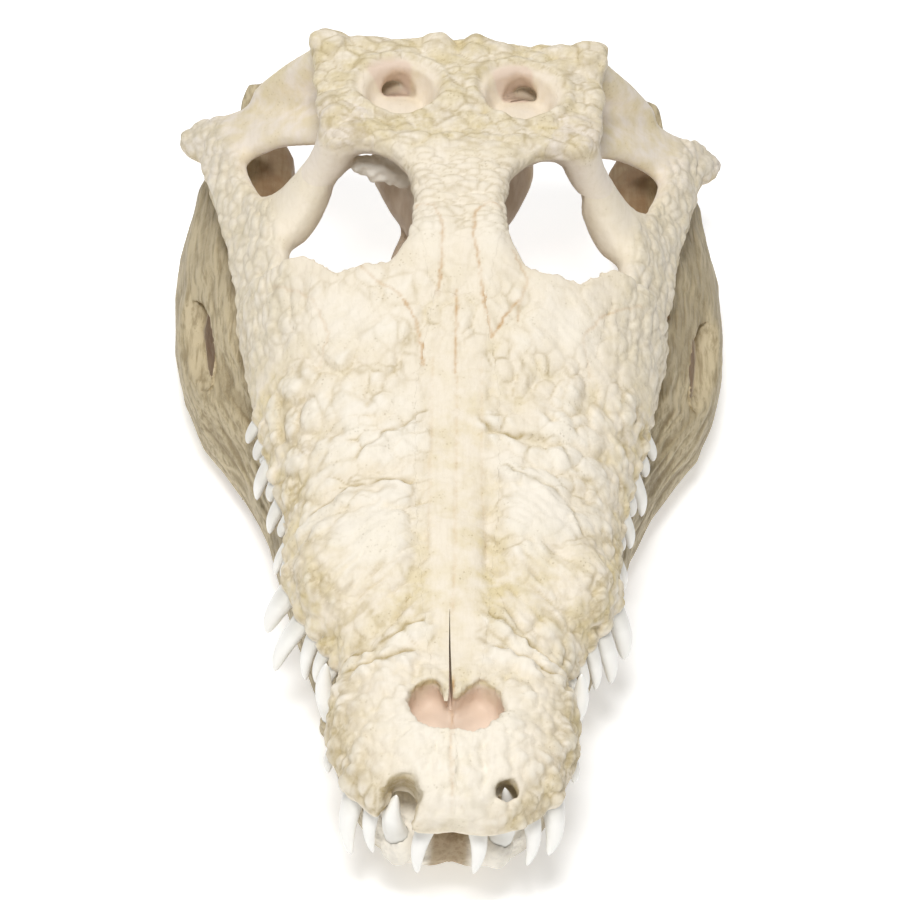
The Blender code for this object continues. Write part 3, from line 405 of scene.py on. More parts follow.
# Swellings and hollows of the roof: centre (x, y), half sizes, height
SWELLINGS = [
    (-34, 140, 17, 21, 3.2), (-24, 189, 11, 12, 1.4),
    (34, 153, 15, 18, 3.4), (23, 181, 11, 11, 1.6),
    (-50, 205, 18, 18, 1.2), (50, 208, 17, 18, 1.2),
    (-16.5, 140, 4.5, 32, -2), (15, 146, 5, 34, -3.2),
    (17.5, 120, 7, 16, -1.6), (-20, 112, 7, 16, -1.2),
    (-14.5, 305, 6.5, 14, 1.9), (14.5, 306, 6.5, 14, 1.9),
    (-28, 289, 12, 14, 1.5), (28, 290, 12, 14, 1.5),
    (-46, 283, 9, 10, 1.2), (46, 284, 9, 10, 1.2), (-62, 288, 9, 9, 1.1),
    (60, 290, 9, 9, 1.1), (-37, 262, 8, 12, 1), (36, 264, 8, 12, 1),
    (0, 330, 14, 34, -1.2),
    (-22, 15, 12, 12, 0.8), (30, 24, 14, 14, 1),
    (-9, 444, 7, 10, 2.6), (8, 444, 7, 10, 2.4), (-0.5, 447, 3.5, 9, -3.4),
    (-33, 447, 13, 8, -2), (32, 447, 13, 8, -1.8), (-62, 440, 9, 10, 2.2),
    (62, 440, 9, 10, 2.2), (-57, 388, 10, 14, 1.8), (57, 388, 10, 14, 1.6),
    (0, 405, 6, 26, 1.2), (0, 378, 30, 7, -1.2),
]


def plan_points(points):
    """Points of the row frame, in metres, as places in the plan, in millimetres."""
    return points / MM + SHIFT


def place(x, y, z):
    """A place in the plan as a point of the row frame."""
    return Vector(((x - SHIFT[0]) * MM, (y - SHIFT[1]) * MM, z * MM))


# Noise and masks


def ramp(values, low, high):
    """0 below low, 1 above high, and smooth between them."""
    share = np.clip((values - low) / (high - low), 0.0, 1.0)
    return share * share * (3 - 2 * share)


def fade(values, low, high):
    """1 below low, 0 above high, and smooth between them."""
    return 1 - ramp(values, low, high)


def bell(values, width):
    """1 at 0, and less and less on both sides of it."""
    return np.exp(-(values / width) ** 2)


def mixed(first, second, share):
    """The first where the share is 0, the second where it is 1."""
    return first * (1 - share) + second * share


def spread(x, y, row):
    """Square of the distance from the centre of a spot, where its half sizes are 1."""
    at_x, at_y, half_x, half_y = row
    return ((x - at_x) / half_x) ** 2 + ((y - at_y) / half_y) ** 2


def oval(x, y, row):
    """Distance from the centre of a spot, where its half sizes are 1."""
    at_x, at_y, half_x, half_y = row
    return np.hypot((x - at_x) / half_x, (y - at_y) / half_y)


def lattice_index(cell, step):
    """Number of the lattice cell a step away from each cell."""
    spot = (cell + step) % LATTICE
    return (spot[:, 0] * LATTICE + spot[:, 1]) * LATTICE + spot[:, 2]


def stretched_noise(points, size, seed):
    """Gradient noise whose bumps have the given sizes along the axes."""
    return gradient_noise(points / np.array(size), seed)


def gradient_noise(points, seed):
    """Smooth noise from about -1 to 1 whose bumps are one unit apart."""
    slopes = np.random.default_rng(seed).normal(size=(LATTICE ** 3, 3))
    slopes /= np.linalg.norm(slopes, axis=1)[:, None]
    cell = np.floor(points).astype(np.int64)
    part = points - cell
    ease = part ** 3 * (part * (part * 6 - 15) + 10)
    total = np.zeros(len(points))
    for corner in range(8):
        step = np.array([corner & 1, corner >> 1 & 1, corner >> 2 & 1])
        index = lattice_index(cell, step)
        weight = np.prod(np.where(step, ease, 1 - ease), axis=1)
        total += weight * np.einsum("ij,ij->i", slopes[index], part - step)
    return total * 1.6


def cap_noise(points, seed):
    """Height of the tallest and the next of the round caps scattered one unit apart."""
    dice = np.random.default_rng(seed)
    jitter = dice.random((LATTICE ** 3, 3))
    reach = dice.uniform(0.6, 1.1, LATTICE ** 3)
    cell = np.floor(points).astype(np.int64)
    part = points - cell
    first = np.full(len(points), CAP_FLOOR)
    second = np.full(len(points), CAP_FLOOR)
    for step in np.ndindex(3, 3, 3):
        step = np.array(step) - 1
        index = lattice_index(cell, step)
        away = jitter[index] + step - part
        wide = reach[index]
        cap = wide - np.einsum("ij,ij->i", away, away) / wide
        second = np.maximum(second, np.minimum(first, cap))
        first = np.maximum(first, cap)
    return first, second


def warped(points, reach, size, seed):
    """Points pushed about by slow noise, so that a pattern loses its regular look."""
    push = [gradient_noise(points / size, seed + axis) for axis in range(3)]
    return points + np.stack(push, axis=1) * reach


def line_distance(points, line):
    """Distance in plan from each point to a line through the given places."""
    nearest = np.full(len(points), 1e9)
    for start, end in zip(line, line[1:]):
        start = np.array(start)
        along = np.array(end) - start
        share = np.clip((points[:, :2] - start) @ along / (along @ along), 0.0, 1.0)
        away = points[:, :2] - start - share[:, None] * along
        nearest = np.minimum(nearest, np.sqrt(np.einsum("ij,ij->i", away, away)))
    return nearest


def width_at(table, back):
    """Distance out that a table gives for a distance back."""
    rows = np.array(table)
    return np.interp(back, rows[:, 0], rows[:, 1])


def measured(spots, normals):
    """What the steps of the masks are measured along, by name."""
    x, y, z = spots.T
    out = np.abs(x)
    aside, back, up = normals.T
    return {
        "out": out, "y": y, "z": z, "up": up, "down": -up, "back": back,
        "outward": np.sign(x) * aside, "edge": out / width_at(SNOUT_EDGE, y),
        "past cheek": out - width_at(CHEEK_EDGE, y), "past strip": out - width_at(NASAL_STRIP, y),
        "inside jaw": width_at(JAW_EDGE, y) - out, "from pit": oval(out, y, PIT),
        "from naris": oval(x, y, NARIS),
        "from bar": line_distance(np.stack((out, z), axis=1), [BAR_TOP, BAR_FOOT]),
    }


def stepped(found, name):
    """The mask of the given name, from 0 to 1."""
    share = 1.0
    for key, zero, one in STEPS[name]:
        share = share * ramp(found[key], zero, one)
    return share


# Mesh helpers


def read_vectors(items, field):
    """Vectors of a mesh's vertices or normals, as rows of an array."""
    flat = np.empty(len(items) * 3, np.float32)
    items.foreach_get(field, flat)
    return flat.reshape(-1, 3).astype(float)


def read_points(mesh):
    """Places of a mesh's vertices in metres."""
    return read_vectors(mesh.vertices, "co")


def write_points(mesh, points):
    """Move a mesh's vertices to the given places."""
    mesh.vertices.foreach_set("co", points.astype(np.float32).ravel())
    mesh.update()


def read_normals(mesh):
    """Directions of a mesh's surface at its vertices."""
    return read_vectors(mesh.vertex_normals, "vector")


def edge_ends(mesh):
    """Numbers of the two vertices of each edge."""
    flat = np.empty(len(mesh.edges) * 2, np.int32)
    mesh.edges.foreach_get("vertices", flat)
    return flat.reshape(-1, 2)


def write_mask(mesh, name, values):
    """Give every vertex a value under a name that the materials read."""
    layer = mesh.attributes.get(name) or mesh.attributes.new(name, "FLOAT", "POINT")
    layer.data.foreach_set("value", values.astype(np.float32))


def write_masks(mesh, **masks):
    """Write the masks of sculpted bone, whose vertices are then known."""
    write_mask(mesh, "known", np.ones(len(mesh.vertices)))
    for name, values in masks.items():
        write_mask(mesh, name, values)


def read_mask(mesh, name):
    """The values written under a name."""
    values = np.zeros(len(mesh.vertices), np.float32)
    mesh.attributes[name].data.foreach_get("value", values)
    return values.astype(float)


def new_object(name, mesh):
    """Object of a mesh, linked to the scene."""
    obj = bpy.data.objects.new(name, mesh)
    bpy.context.scene.collection.objects.link(obj)
    return obj


def mesh_object(name, bm):
    """Object made from an editing mesh, which is freed."""
    mesh = bpy.data.meshes.new(name)
    bm.to_mesh(mesh)
    bm.free()
    return new_object(name, mesh)


def drop(*objects):
    """Remove objects that are no longer needed."""
    for obj in objects:
        bpy.data.objects.remove(obj, do_unlink=True)


def applied(obj, name):
    """Apply an object's modifiers as a new object and remove the old one."""
    bpy.context.view_layer.update()
    graph = bpy.context.evaluated_depsgraph_get()
    mesh = bpy.data.meshes.new_from_object(obj.evaluated_get(graph))
    drop(obj)
    return new_object(name, mesh)


def combined(obj, tool, operation, name):
    """Boolean of two closed meshes, which keeps both of them."""
    result = new_object(name, obj.data.copy())
    modifier = result.modifiers.new("cut", "BOOLEAN")
    modifier.operation = operation
    modifier.object = tool
    modifier.solver = "MANIFOLD"
    return applied(result, name)


def shells(bm):
    """Groups of faces that hang together, the largest first."""
    seen = set()
    groups = []
    for start in bm.faces:
        if start in seen:
            continue
        seen.add(start)
        group = [start]
        for face in group:
            for edge in face.edges:
                for other in edge.link_faces:
                    if other not in seen:
                        seen.add(other)
                        group.append(other)
        groups.append(group)
    return sorted(groups, key=len, reverse=True)


def drop_scraps(obj, fewest):
    """Remove every loose shell with fewer faces than given."""
    bm = bmesh.new()
    bm.from_mesh(obj.data)
    groups = shells(bm)
    loose = [face for group in groups[1:] if len(group) < fewest for face in group]
    bmesh.ops.delete(bm, geom=loose, context="FACES")
    bm.to_mesh(obj.data)
    bm.free()


def bone_copy(node):
    """Closed copy of a CAD bone."""
    bm = bmesh.new()
    bm.from_mesh(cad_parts[node].data)
    bmesh.ops.remove_doubles(bm, verts=bm.verts, dist=MERGE)
    return mesh_object(node + "_copy", bm)


def outline_block(name, outline, low, high, grow=0.0):
    """Upright block over a plan, grown outwards by a clearance."""
    bm = bmesh.new()
    corners = [bm.verts.new(place(x, y, low)) for x, y in grown_outline(outline, grow)]
    floor = bm.faces.new(corners)
    walls = bmesh.ops.extrude_face_region(bm, geom=[floor])
    roof = [item for item in walls["geom"] if isinstance(item, bmesh.types.BMVert)]
    bmesh.ops.translate(bm, vec=Vector((0, 0, (high - low) * MM)), verts=roof)
    bmesh.ops.triangulate(bm, faces=bm.faces)
    bmesh.ops.recalc_face_normals(bm, faces=bm.faces)
    return mesh_object(name, bm)


def grown_outline(outline, grow):
    """The outline pushed outwards at every corner."""
    if not grow:
        return outline
    points = [Vector(point) for point in outline]
    turns = [a.cross(b) for a, b in zip(points, points[1:] + points[:1])]
    side = math.copysign(1.0, sum(turns))
    grown = []
    for index, here in enumerate(points):
        into = (here - points[index - 1]).normalized()
        out = (points[(index + 1) % len(points)] - here).normalized()
        middle = Vector((into.y + out.y, -into.x - out.x)).normalized() * side
        grown.append(tuple(here + middle * grow))
    return grown


def wavy_outline(outline, reach):
    """The outline with a meandering edge, as the bones of a skull knit together."""
    wavy = []
    for start, end in zip(outline, outline[1:] + outline[:1]):
        start, end = Vector(start), Vector(end)
        along = end - start
        across = Vector((-along.y, along.x)).normalized()
        count = max(1, int(along.length / WAVE_STEP))
        for step in range(count):
            spot = start + along * step / count
            if max(abs(spot.x), abs(spot.y) * 0.2) > WAVE_LIMIT:
                wavy.append(tuple(spot))
                continue
            phase = spot.x * 1.27 + spot.y * 0.93
            swing = math.sin(phase) + 0.7 * math.sin(phase * 0.37 + 1.7) + 0.4 * math.sin(phase * 2.3)
            wavy.append(tuple(spot + across * swing * reach * min(1.0, step / 3)))
    return wavy


# Teeth


def tooth_profile(share):
    """Radius of a crown at a share of its height, where the base is 1."""
    if share < 0:
        return 1.0 + share * 0.12
    return (1 - share) ** 0.62 * (1 + 0.25 * share) + 0.03


def add_tooth(bm, row, side, upward, thicker=0.0, root=7.0, reach=1.0, sides=20, bow=0.08):
    """A cone with rings along it, moved onto the curve of the crown."""
    x, y, z, out, forward, crown, radius = row
    fall = math.sqrt(max(crown ** 2 - out ** 2 - forward ** 2, 1.0))
    base = Vector((x, y, z))
    axis = Vector((out, -forward, fall if upward else -fall)).normalized()
    bend = Vector((1.0, -0.5, 0.0)).normalized() * crown * bow
    first = len(bm.verts)
    made = bmesh.ops.create_cone(bm, cap_ends=True, segments=sides, radius1=1, radius2=1, depth=1)
    rising = {edge for vert in made["verts"] for edge in vert.link_edges
              if abs(edge.verts[0].co.z - edge.verts[1].co.z) > 0.5}
    bmesh.ops.subdivide_edges(bm, edges=list(rising), cuts=18)
    bm.verts.ensure_lookup_table()
    for vert in bm.verts[first:]:
        share = -root / crown + (vert.co.z + 0.5) * (reach + root / crown)
        width = radius * tooth_profile(min(share, 1.0)) + thicker
        turn = math.atan2(vert.co.y, vert.co.x)
        keel = 1 + 0.05 * math.cos(2 * turn) if not thicker else 1.0
        centre = base + axis * crown * share + bend * math.sin(math.pi * min(max(share, 0.0), 1.0))
        spot = centre + Vector((math.cos(turn), math.sin(turn), 0.0)) * width * keel
        vert.co = place(spot.x * side, spot.y, spot.z)


def grown_tooth(row):
    """The row of a tooth with the length that its crown has grown to."""
    x, y, z, out, forward, crown, radius = row
    share = GROWTH.get(y, 1.0)
    return x, y, z, out * share, forward * share, crown * share, radius


def tooth_rows(bone):
    """Rows of the teeth of a bone, the way they point and the side they stand on."""
    kind, word = bone.split("_")
    side = dict(SIDES)[word]
    if kind == "premaxilla":
        return UPPER_FRONT_TEETH[word], side, False
    if kind == "maxilla":
        return UPPER_SIDE_TEETH + UPPER_LARGE_TEETH[word], side, False
    return LOWER_TEETH + LOWER_FRONT_TEETH[word], side, True


def sleeves(bone, thicker, root, reach):
    """Closed sleeves round the teeth of a bone."""
    rows, side, upward = tooth_rows(bone)
    bm = bmesh.new()
    for row in rows:
        add_tooth(bm, row, side, upward, thicker, root, reach, sides=12, bow=0.06)
    bmesh.ops.triangulate(bm, faces=bm.faces)
    bmesh.ops.recalc_face_normals(bm, faces=bm.faces)
    return mesh_object(bone + "_sleeves", bm)


def pieces_of(name, outline, paired):
    """Each bone of a row of the tables with its own outline."""
    if not paired:
        return [(name, outline)]
    pieces = []
    for word, side in SIDES:
        plan = [(x * side, y) for x, y in outline]
        if side < 0:
            plan = [(FAR_SIDE if x == 0 else x, y) for x, y in plan]
        pieces.append((name + "_" + word, plan))
    return pieces


def bone_names(bones):
    """Names of all bones of a table."""
    return [piece for name, outline, _, _, paired in bones
            for piece, _ in pieces_of(name, outline, paired)]


# Whole bone


def fused_bone(name, nodes, grain, passes):
    """Copies of CAD bones, freed of their teeth and fused at a fine grain."""
    bm = bmesh.new()
    for node in nodes:
        copy = bone_copy(node)
        if node in TOOTHED:
            sleeve = sleeves(node, *BARE_SLEEVE)
            bare = combined(copy, sleeve, "DIFFERENCE", node + "_bare")
            drop(copy, sleeve)
            copy = bare
        points = read_points(copy.data)
        write_points(copy.data, points + read_normals(copy.data) * INFLATE * MM)
        bm.from_mesh(copy.data)
        drop(copy)
        if node in TOOTHED:
            add_bosses(bm, node)
        if node == "nasals":
            add_spikes(bm)
        if node == "braincase":
            add_inner_bone(bm)
    whole = mesh_object(name, bm)
    remesh = whole.modifiers.new("grain", "REMESH")
    remesh.mode = "VOXEL"
    remesh.voxel_size = grain
    smooth = whole.modifiers.new("soften", "SMOOTH")
    smooth.factor = 0.5
    smooth.iterations = passes
    whole = applied(whole, name)
    drop_scraps(whole, FEWEST_OF_WHOLE)
    return whole


def add_bosses(bm, bone):
    """Collars of bone round the roots of the teeth."""
    rows, side, upward = tooth_rows(bone)
    for x, y, z, _, _, _, radius in rows:
        made = bmesh.ops.create_icosphere(bm, subdivisions=3, radius=MM)
        wide = radius + (2.0 if y < 30 else 1.2)
        bmesh.ops.scale(bm, vec=(wide, wide, wide * 1.5), verts=made["verts"])
        lift = (-wide if upward else wide) * 0.85
        inward = (x - 0.9) * side
        bmesh.ops.translate(bm, vec=place(inward, y, z + lift), verts=made["verts"])


def add_spikes(bm):
    """The two pointed tips that the nasal bones end in over the nostril."""
    for base, tip, radius in NASAL_SPIKES:
        base, tip = place(*base), place(*tip)
        turn = (tip - base).to_track_quat("Z", "Y").to_matrix().to_4x4()
        matrix = Matrix.Translation((base + tip) / 2) @ turn
        bmesh.ops.create_cone(bm, cap_ends=True, segments=16, radius1=radius * MM,
                              radius2=0.3 * MM, depth=(tip - base).length, matrix=matrix)


def add_inner_bone(bm):
    """Bone that shows through the left orbit and on the floor of the temple pits."""
    for centre, half, tip, turn in INNER_BONE:
        matrix = (Matrix.Translation(place(*centre)) @ Matrix.Rotation(math.radians(tip), 4, "X") @
                  Matrix.Rotation(math.radians(turn), 4, "Y") @
                  Matrix.Diagonal((half[0] * MM, half[1] * MM, half[2] * MM, 1.0)))
        bmesh.ops.create_icosphere(bm, subdivisions=4, radius=1.0, matrix=matrix)


def clamp_to_cad(points):
    """Points kept inside the box of the CAD model."""
    low = np.array(CAD_BOX[0]) + CLEARANCE * MM
    high = np.array(CAD_BOX[1]) - CLEARANCE * MM
    return np.clip(points, low, high)


def upper_masks(found):
    """Where the upper skull's surface is of one kind or another, each from 0 to 1."""
    pit, naris = stepped(found, "pit"), stepped(found, "naris")
    cheek = stepped(found, "cheek") * (1 - stepped(found, "knob"))
    clear = (1 - pit) * (1 - naris)
    return {
        "snout": stepped(found, "snout") * clear * (1 - cheek), "front": stepped(found, "front"),
        "top": stepped(found, "top") * clear, "cheek": cheek * stepped(found, "cheek face"),
        "pit": pit, "naris": naris,
    }


def lumps(spots, size, seed, warp, thick=1.0):
    """Melted lumps about 0 high, and the thin creases between them, from 0 to 1."""
    bent = warped(spots, warp, 12.0, seed)
    first, second = cap_noise(bent / np.array(size), seed + 7)
    crease = bell((first - second) * size[0], 1.5 * thick)
    return first - 0.55, crease * ramp(first, CAP_FLOOR, CAP_FLOOR + 0.12)


def muzzle_spots(spots):
    """Places round the nostril unrolled, so that a pattern there runs outwards."""
    x, y, z = spots.T
    reach = np.hypot(x, y - MUZZLE_MIDDLE)
    turn = np.arctan2(x, y - MUZZLE_MIDDLE)
    return np.stack((turn * MUZZLE_ROUND, reach + (MUZZLE_TOP - z) * 0.8, z * 0.3), axis=1)


def slanted_noise(spots, seed):
    """Streaks that run outwards and forwards on both sides of the snout."""
    out, y, z = np.abs(spots[:, 0]), spots[:, 1], spots[:, 2]
    turned = np.stack(((out + y) / 4.4, (out - y) / 18.0, z / 9.0), axis=1)
    return gradient_noise(warped(turned, 0.5, 1.6, seed), seed + 5)


def melted(lump):
    """A lump with a worn, flat top and a steep edge."""
    return 0.45 * np.tanh(lump * 2.4)


def nasal_groove(spots, found):
    """The broken groove along both edges of the nasal strip, from 0 to 1."""
    groove = bell(found["past strip"] - 1.5, 1.8) * stepped(found, "groove")
    return groove * np.clip(0.5 + 0.9 * gradient_noise(spots / 14.0, 44), 0.0, 1.0)


def crossed_lumps(spots, across):
    """Large worn lumps, drawn out along the snout and in its middle across it."""
    long_lump, long_crease = lumps(spots, (8.5, 15.0, 9.0), 11, 3.5, 0.8)
    wide_lump, wide_crease = lumps(spots, (13.0, 9.5, 9.0), 15, 3.5, 0.8)
    return melted(mixed(long_lump, wide_lump, across)), mixed(long_crease, wide_crease, across)


def snout_relief(spots, found):
    """Height and creases of the worn, lumpy roof of the snout."""
    x, y, _ = spots.T
    rim, muzzle, strip = [stepped(found, name) for name in ("snout side", "muzzle", "strip")]
    worn = bell(y - 108.0, 22.0) * (1 - 0.7 * rim)
    strength = (1.0 + 0.2 * rim) * (1 - 0.32 * stepped(found, "calm"))
    strength *= (1 - 0.85 * strip) * (1 - 0.65 * worn)
    for row in SMOOTH_PATCHES:
        strength *= 1 - 0.75 * np.exp(-spread(x, y, row) ** 2)
    lump, crease = crossed_lumps(spots, stepped(found, "across") * (1 - rim))
    small_lump, small_crease = lumps(spots, (4.2, 5.2, 4.2), 23, 1.6)
    ray_lump, ray_crease = lumps(muzzle_spots(spots), (4.6, 10.0, 8.0), 47, 1.6)
    slow = stretched_noise(spots, (16.0, 20.0, 16.0), 41)
    broken = ramp(gradient_noise(spots / 13.0, 42), -0.30, 0.35)
    hold = 0.40 + 0.60 * broken
    body = 4.0 * lump * hold + (0.45 + 0.8 * rim) * small_lump
    front = 2.2 * lump * hold + 1.3 * small_lump + (1.0 + 0.6 * rim) * ray_lump
    streaks = slanted_noise(spots, 51) * (0.45 + 0.75 * worn) * (1 - muzzle) * (1 - strip)
    groove = nasal_groove(spots, found)
    height = strength * mixed(body, front, muzzle) + slow * (0.8 - 0.6 * strip) + streaks
    height -= groove * np.where(x > 0, 1.1, 0.5)
    lines = np.max([
        0.75 * crease * hold * (1 - 0.6 * muzzle), small_crease * (0.10 + 0.7 * rim) * broken,
        0.8 * ray_crease * muzzle * rim, 0.28 * groove,
    ], axis=0)
    return height, np.maximum(lines * np.clip(strength, 0.0, 1.0), ramp(-streaks, 0.2, 0.6) * 0.4)


def frontal_relief(spots):
    """Height and creases of the scaly bridge between the orbits."""
    lump, crease = lumps(spots, (8.0, 3.8, 7.0), 61, 1.6)
    return 1.7 * lump, 0.45 * crease


def table_relief(spots, found):
    """Height and creases of the pebbled skull table."""
    lump, crease = lumps(spots, (10.5, 8.0, 9.0), 71, 3.4)
    small_lump, small_crease = lumps(spots, (4.0, 3.6, 4.0), 73, 1.2)
    slow = gradient_noise(spots / 14.0, 75)
    rim = bell(found["from pit"] - 1.16, 0.13)
    height = (2.6 * lump + 0.6 * small_lump) * (1 - 0.6 * rim) + 0.9 * slow + 1.5 * rim
    return height, np.maximum(0.7 * crease, 0.3 * small_crease)


def cheek_relief(spots):
    """Height and creases of the ropy, knobbly bone that runs below the orbit, with painted shade in its low
    parts.
    """
    lump, crease = lumps(spots, (4.6, 13.0, 4.6), 81, 2.6)
    bead, thin_crease = lumps(spots, (3.4, 5.2, 3.4), 83, 1.2)
    slow = stretched_noise(spots, (9.0, 20.0, 9.0), 85)
    height = 2.0 * lump + 0.8 * bead + 0.7 * slow
    # Painted shade in the low parts of the relief
    low = ramp(-height, 0.0, 1.0)
    return height, 0.7 * np.maximum(np.maximum(crease, 0.5 * thin_crease), 0.4 * low)


def fold_relief(spots, roof):
    """Folds, swellings and hollows that stand in one place on the roof."""
    x, y, _ = spots.T
    height = np.zeros(len(spots))
    lines = np.zeros(len(spots))
    bent = warped(spots, 2.4, 6.0, 95)
    uneven = 0.55 + 0.75 * gradient_noise(spots / 7.0, 96)
    for rise, half_width, line in FOLDS:
        height += roof * uneven * rise * bell(line_distance(bent, line), half_width * 1.5)
        groove = bell(line_distance(bent + FOLD_GROOVE, line), 1.3)
        height -= roof * uneven * rise * 0.6 * groove
        lines = np.maximum(lines, roof * np.clip(uneven * rise * 0.8, 0.0, 1.1) * groove)
    for *row, rise in SWELLINGS:
        height += roof * rise * np.exp(-spread(x, y, row))
    return height, lines


def suture_relief(spots, roof):
    """Fine sutures drawn in the roof: how deep and how brown they are."""
    depth = np.zeros(len(spots))
    brown = np.zeros(len(spots))
    bent = warped(spots, 0.8, 2.6, 97)
    for deep, tint, line in SUTURES:
        distance = line_distance(bent, line)
        depth += roof * deep * bell(distance, 0.7)
        brown = np.maximum(brown, roof * tint * bell(distance, 0.65))
    return depth, brown


def relaxed(mesh, points, mask, passes):
    """Points smoothed as far as the mask says."""
    ends = edge_ends(mesh)
    ends = ends[(mask[ends[:, 0]] > 0) & (mask[ends[:, 1]] > 0)]
    chosen, ends = np.unique(ends, return_inverse=True)
    first, second = ends.reshape(-1, 2).T
    count = len(chosen)
    valence = np.bincount(first, minlength=count) + np.bincount(second, minlength=count)
    held = points[chosen]
    share = mask[chosen, None]
    for _ in range(passes):
        total = np.empty_like(held)
        for axis in range(3):
            total[:, axis] = (np.bincount(first, held[second, axis], count) +
                              np.bincount(second, held[first, axis], count))
        held = held + (total / valence[:, None] - held) * share * RELAX
    points = points.copy()
    points[chosen] = held
    return points


def hole_mask(spots, found):
    """The walls of the holes over the front lower teeth, which get painted shade, from 0 to 1."""
    x, y, _ = spots.T
    near = [fade(oval(x, y, (at_x, at_y, radius, radius)), 0.95, 1.15) for at_x, at_y, radius in TOOTH_HOLES]
    return np.max(near, axis=0) * stepped(found, "hole")


def bleach_mask(spots, found):
    """Whiter bone: painted light on the splinter in the left orbit, which lies in shade, and paler smooth
    swellings.
    """
    x, y, _ = spots.T
    # Painted light on the splinter, which lies in the shade of the skull table
    centre, half, _, _ = INNER_BONE[0]
    apart = (spots - np.array(centre)) / (np.array(half) + 2.5)
    white = fade(np.sqrt(np.einsum("ij,ij->i", apart, apart)), 0.95, 1.15)
    high = 0.3 * stepped(found, "white patch")
    return np.max([white] + [high * np.exp(-spread(x, y, row)) for row in SMOOTH_PATCHES], axis=0)


def pit_skin(spots, pit):
    """The thin, rosy bone at the back of the temple pits."""
    x, y, _ = spots.T
    skin = np.max([fade(oval(x, y, row), 0.85, 1.1) for row in PIT_SKIN], axis=0)
    return pit * (0.25 + 0.75 * skin)


def soften_openings(mesh):
    """Smooth the rims of the openings and the bars between them, and return all places."""
    points = read_points(mesh)
    found = measured(plan_points(points), read_normals(mesh))
    points = relaxed(mesh, points, stepped(found, "rims"), RIM_PASSES)
    write_points(mesh, points)
    bars = stepped(found, "bars")
    points += read_normals(mesh) * bars[:, None] * BAR_SWELL * MM
    points = relaxed(mesh, points, bars, BAR_PASSES)
    write_points(mesh, points)
    return points


def upper_relief(spots, found, masks, height):
    """Height and creases of every kind of surface, blended by their masks."""
    fine = gradient_noise(spots / 2.4, 91)
    striae = stretched_noise(warped(spots, 4.0, 20.0, 101), (3.4, 8.0, 3.4), 92)
    relief = fine * 0.05 + striae * 0.16
    lines = np.zeros(len(spots))
    reliefs = (snout_relief(spots, found), frontal_relief(spots), table_relief(spots, found),
               cheek_relief(spots))
    for name, (rise, crease) in zip(KINDS, reliefs):
        share = masks[name]
        relief = relief * (1 - share) + (rise + fine * 0.10) * share * height / MM
        lines = np.maximum(lines * (1 - share), crease * share)
    return relief, lines


def upper_white(spots, found, masks, relief):
    """Whiter bone: painted highlights on the tops of the snout's relief, painted light on its tip and on the
    faces of the cheeks that look up.
    """
    # Painted light on the tip, painted highlights on the tops of the relief and painted light on the cheeks
    tip = 0.35 * stepped(found, "white tip")
    tops = np.maximum(0.40 * ramp(relief, 0.2, 1.8), tip) * masks["snout"]
    cheeks = 0.28 * masks["cheek"] * stepped(found, "white cheek")
    return np.max([bleach_mask(spots, found), cheeks, tops], axis=0)


def upper_dark(spots, found, masks, lines):
    """Darkened bone: creases, painted shade on faces that look down and at the back of the nostril, and
    painted shade on the walls of holes.
    """
    # Painted shade on faces of the cheeks and snout that look down, made patchy by a noise
    underside_shade = stepped(found, "underside_shade") * np.maximum(masks["cheek"], masks["snout"])
    underside_shade *= 0.45 + 0.6 * stretched_noise(spots, (5.0, 12.0, 5.0), 151)
    shade = 0.45 * masks["naris"] * stepped(found, "naris shade")
    return np.clip(np.max([lines, underside_shade, shade, hole_mask(spots, found)], axis=0), 0.0, 1.2)


def upper_stain(spots, found, masks, lows):
    """How yellow the bone is, from 0 to 1.5."""
    snout = masks["snout"]
    aged = np.max([
        0.75 * masks["cheek"], 1.05 * masks["top"], stepped(found, "old back"),
        snout * stepped(found, "old side"), 1.5 * snout * stepped(found, "old front"),
        0.6 * snout * stepped(found, "old strip"), 0.8 * snout * bell(spots[:, 1] - 106.0, 26.0),
    ], axis=0)
    cloud = gradient_noise(spots / 26.0, 201) * 0.5 + 0.5
    return np.clip((0.45 + cloud) * (0.25 + 0.75 * aged) + lows, 0.0, 1.5)


def sculpt_upper(whole, height):
    """Give the fused upper skull its relief and its masks."""
    mesh = whole.data
    points = soften_openings(mesh)
    normals = read_normals(mesh)
    spots = plan_points(points)
    found = measured(spots, normals)
    masks = upper_masks(found)
    snout, top, cheek = masks["snout"], masks["top"], masks["cheek"]
    roof = stepped(found, "roof")
    relief, lines = upper_relief(spots, found, masks, height)
    rise, crease = fold_relief(spots, roof * np.max([snout, masks["front"], top], axis=0))
    depth, brown = suture_relief(spots, roof)
    ragged = stepped(found, "ragged") * stretched_noise(spots, (3.2, 6.0, 12.0), 131)
    relief += rise - depth + ragged * 1.8
    # white: mostly painted light and highlights
    white = upper_white(spots, found, masks, relief)
    lows = 0.4 * ramp(-relief, 0.1, 1.2) * np.maximum(snout, top)
    relief += ramp(white, 0.5, 0.9) * gradient_noise(spots / 4.0, 141) * 1.6
    write_points(mesh, clamp_to_cad(points + normals * relief[:, None] * MM))
    write_masks(
        # crease: brown creases, with the painted shade of faces that look down, of the nostril's back and of
        # the walls of holes
        mesh, crease=upper_dark(spots, found, masks, np.maximum(lines, crease)), suture=brown,
        rough=np.max([masks[name] for name in KINDS], axis=0),
        wear=snout * (0.75 - 0.45 * stepped(found, "little wear")) + 0.6 * top + 0.9 * cheek,
        # whitening: painted light and highlights of the upper skull
        pink=np.maximum(masks["naris"], pit_skin(spots, masks["pit"])), bleach=white,
        # inner: painted shade on the braincase's deep walls and on low faces that look down
        inner=np.maximum(stepped(found, "case"), 0.7 * stepped(found, "below")),
        stain=upper_stain(spots, found, masks, lows))


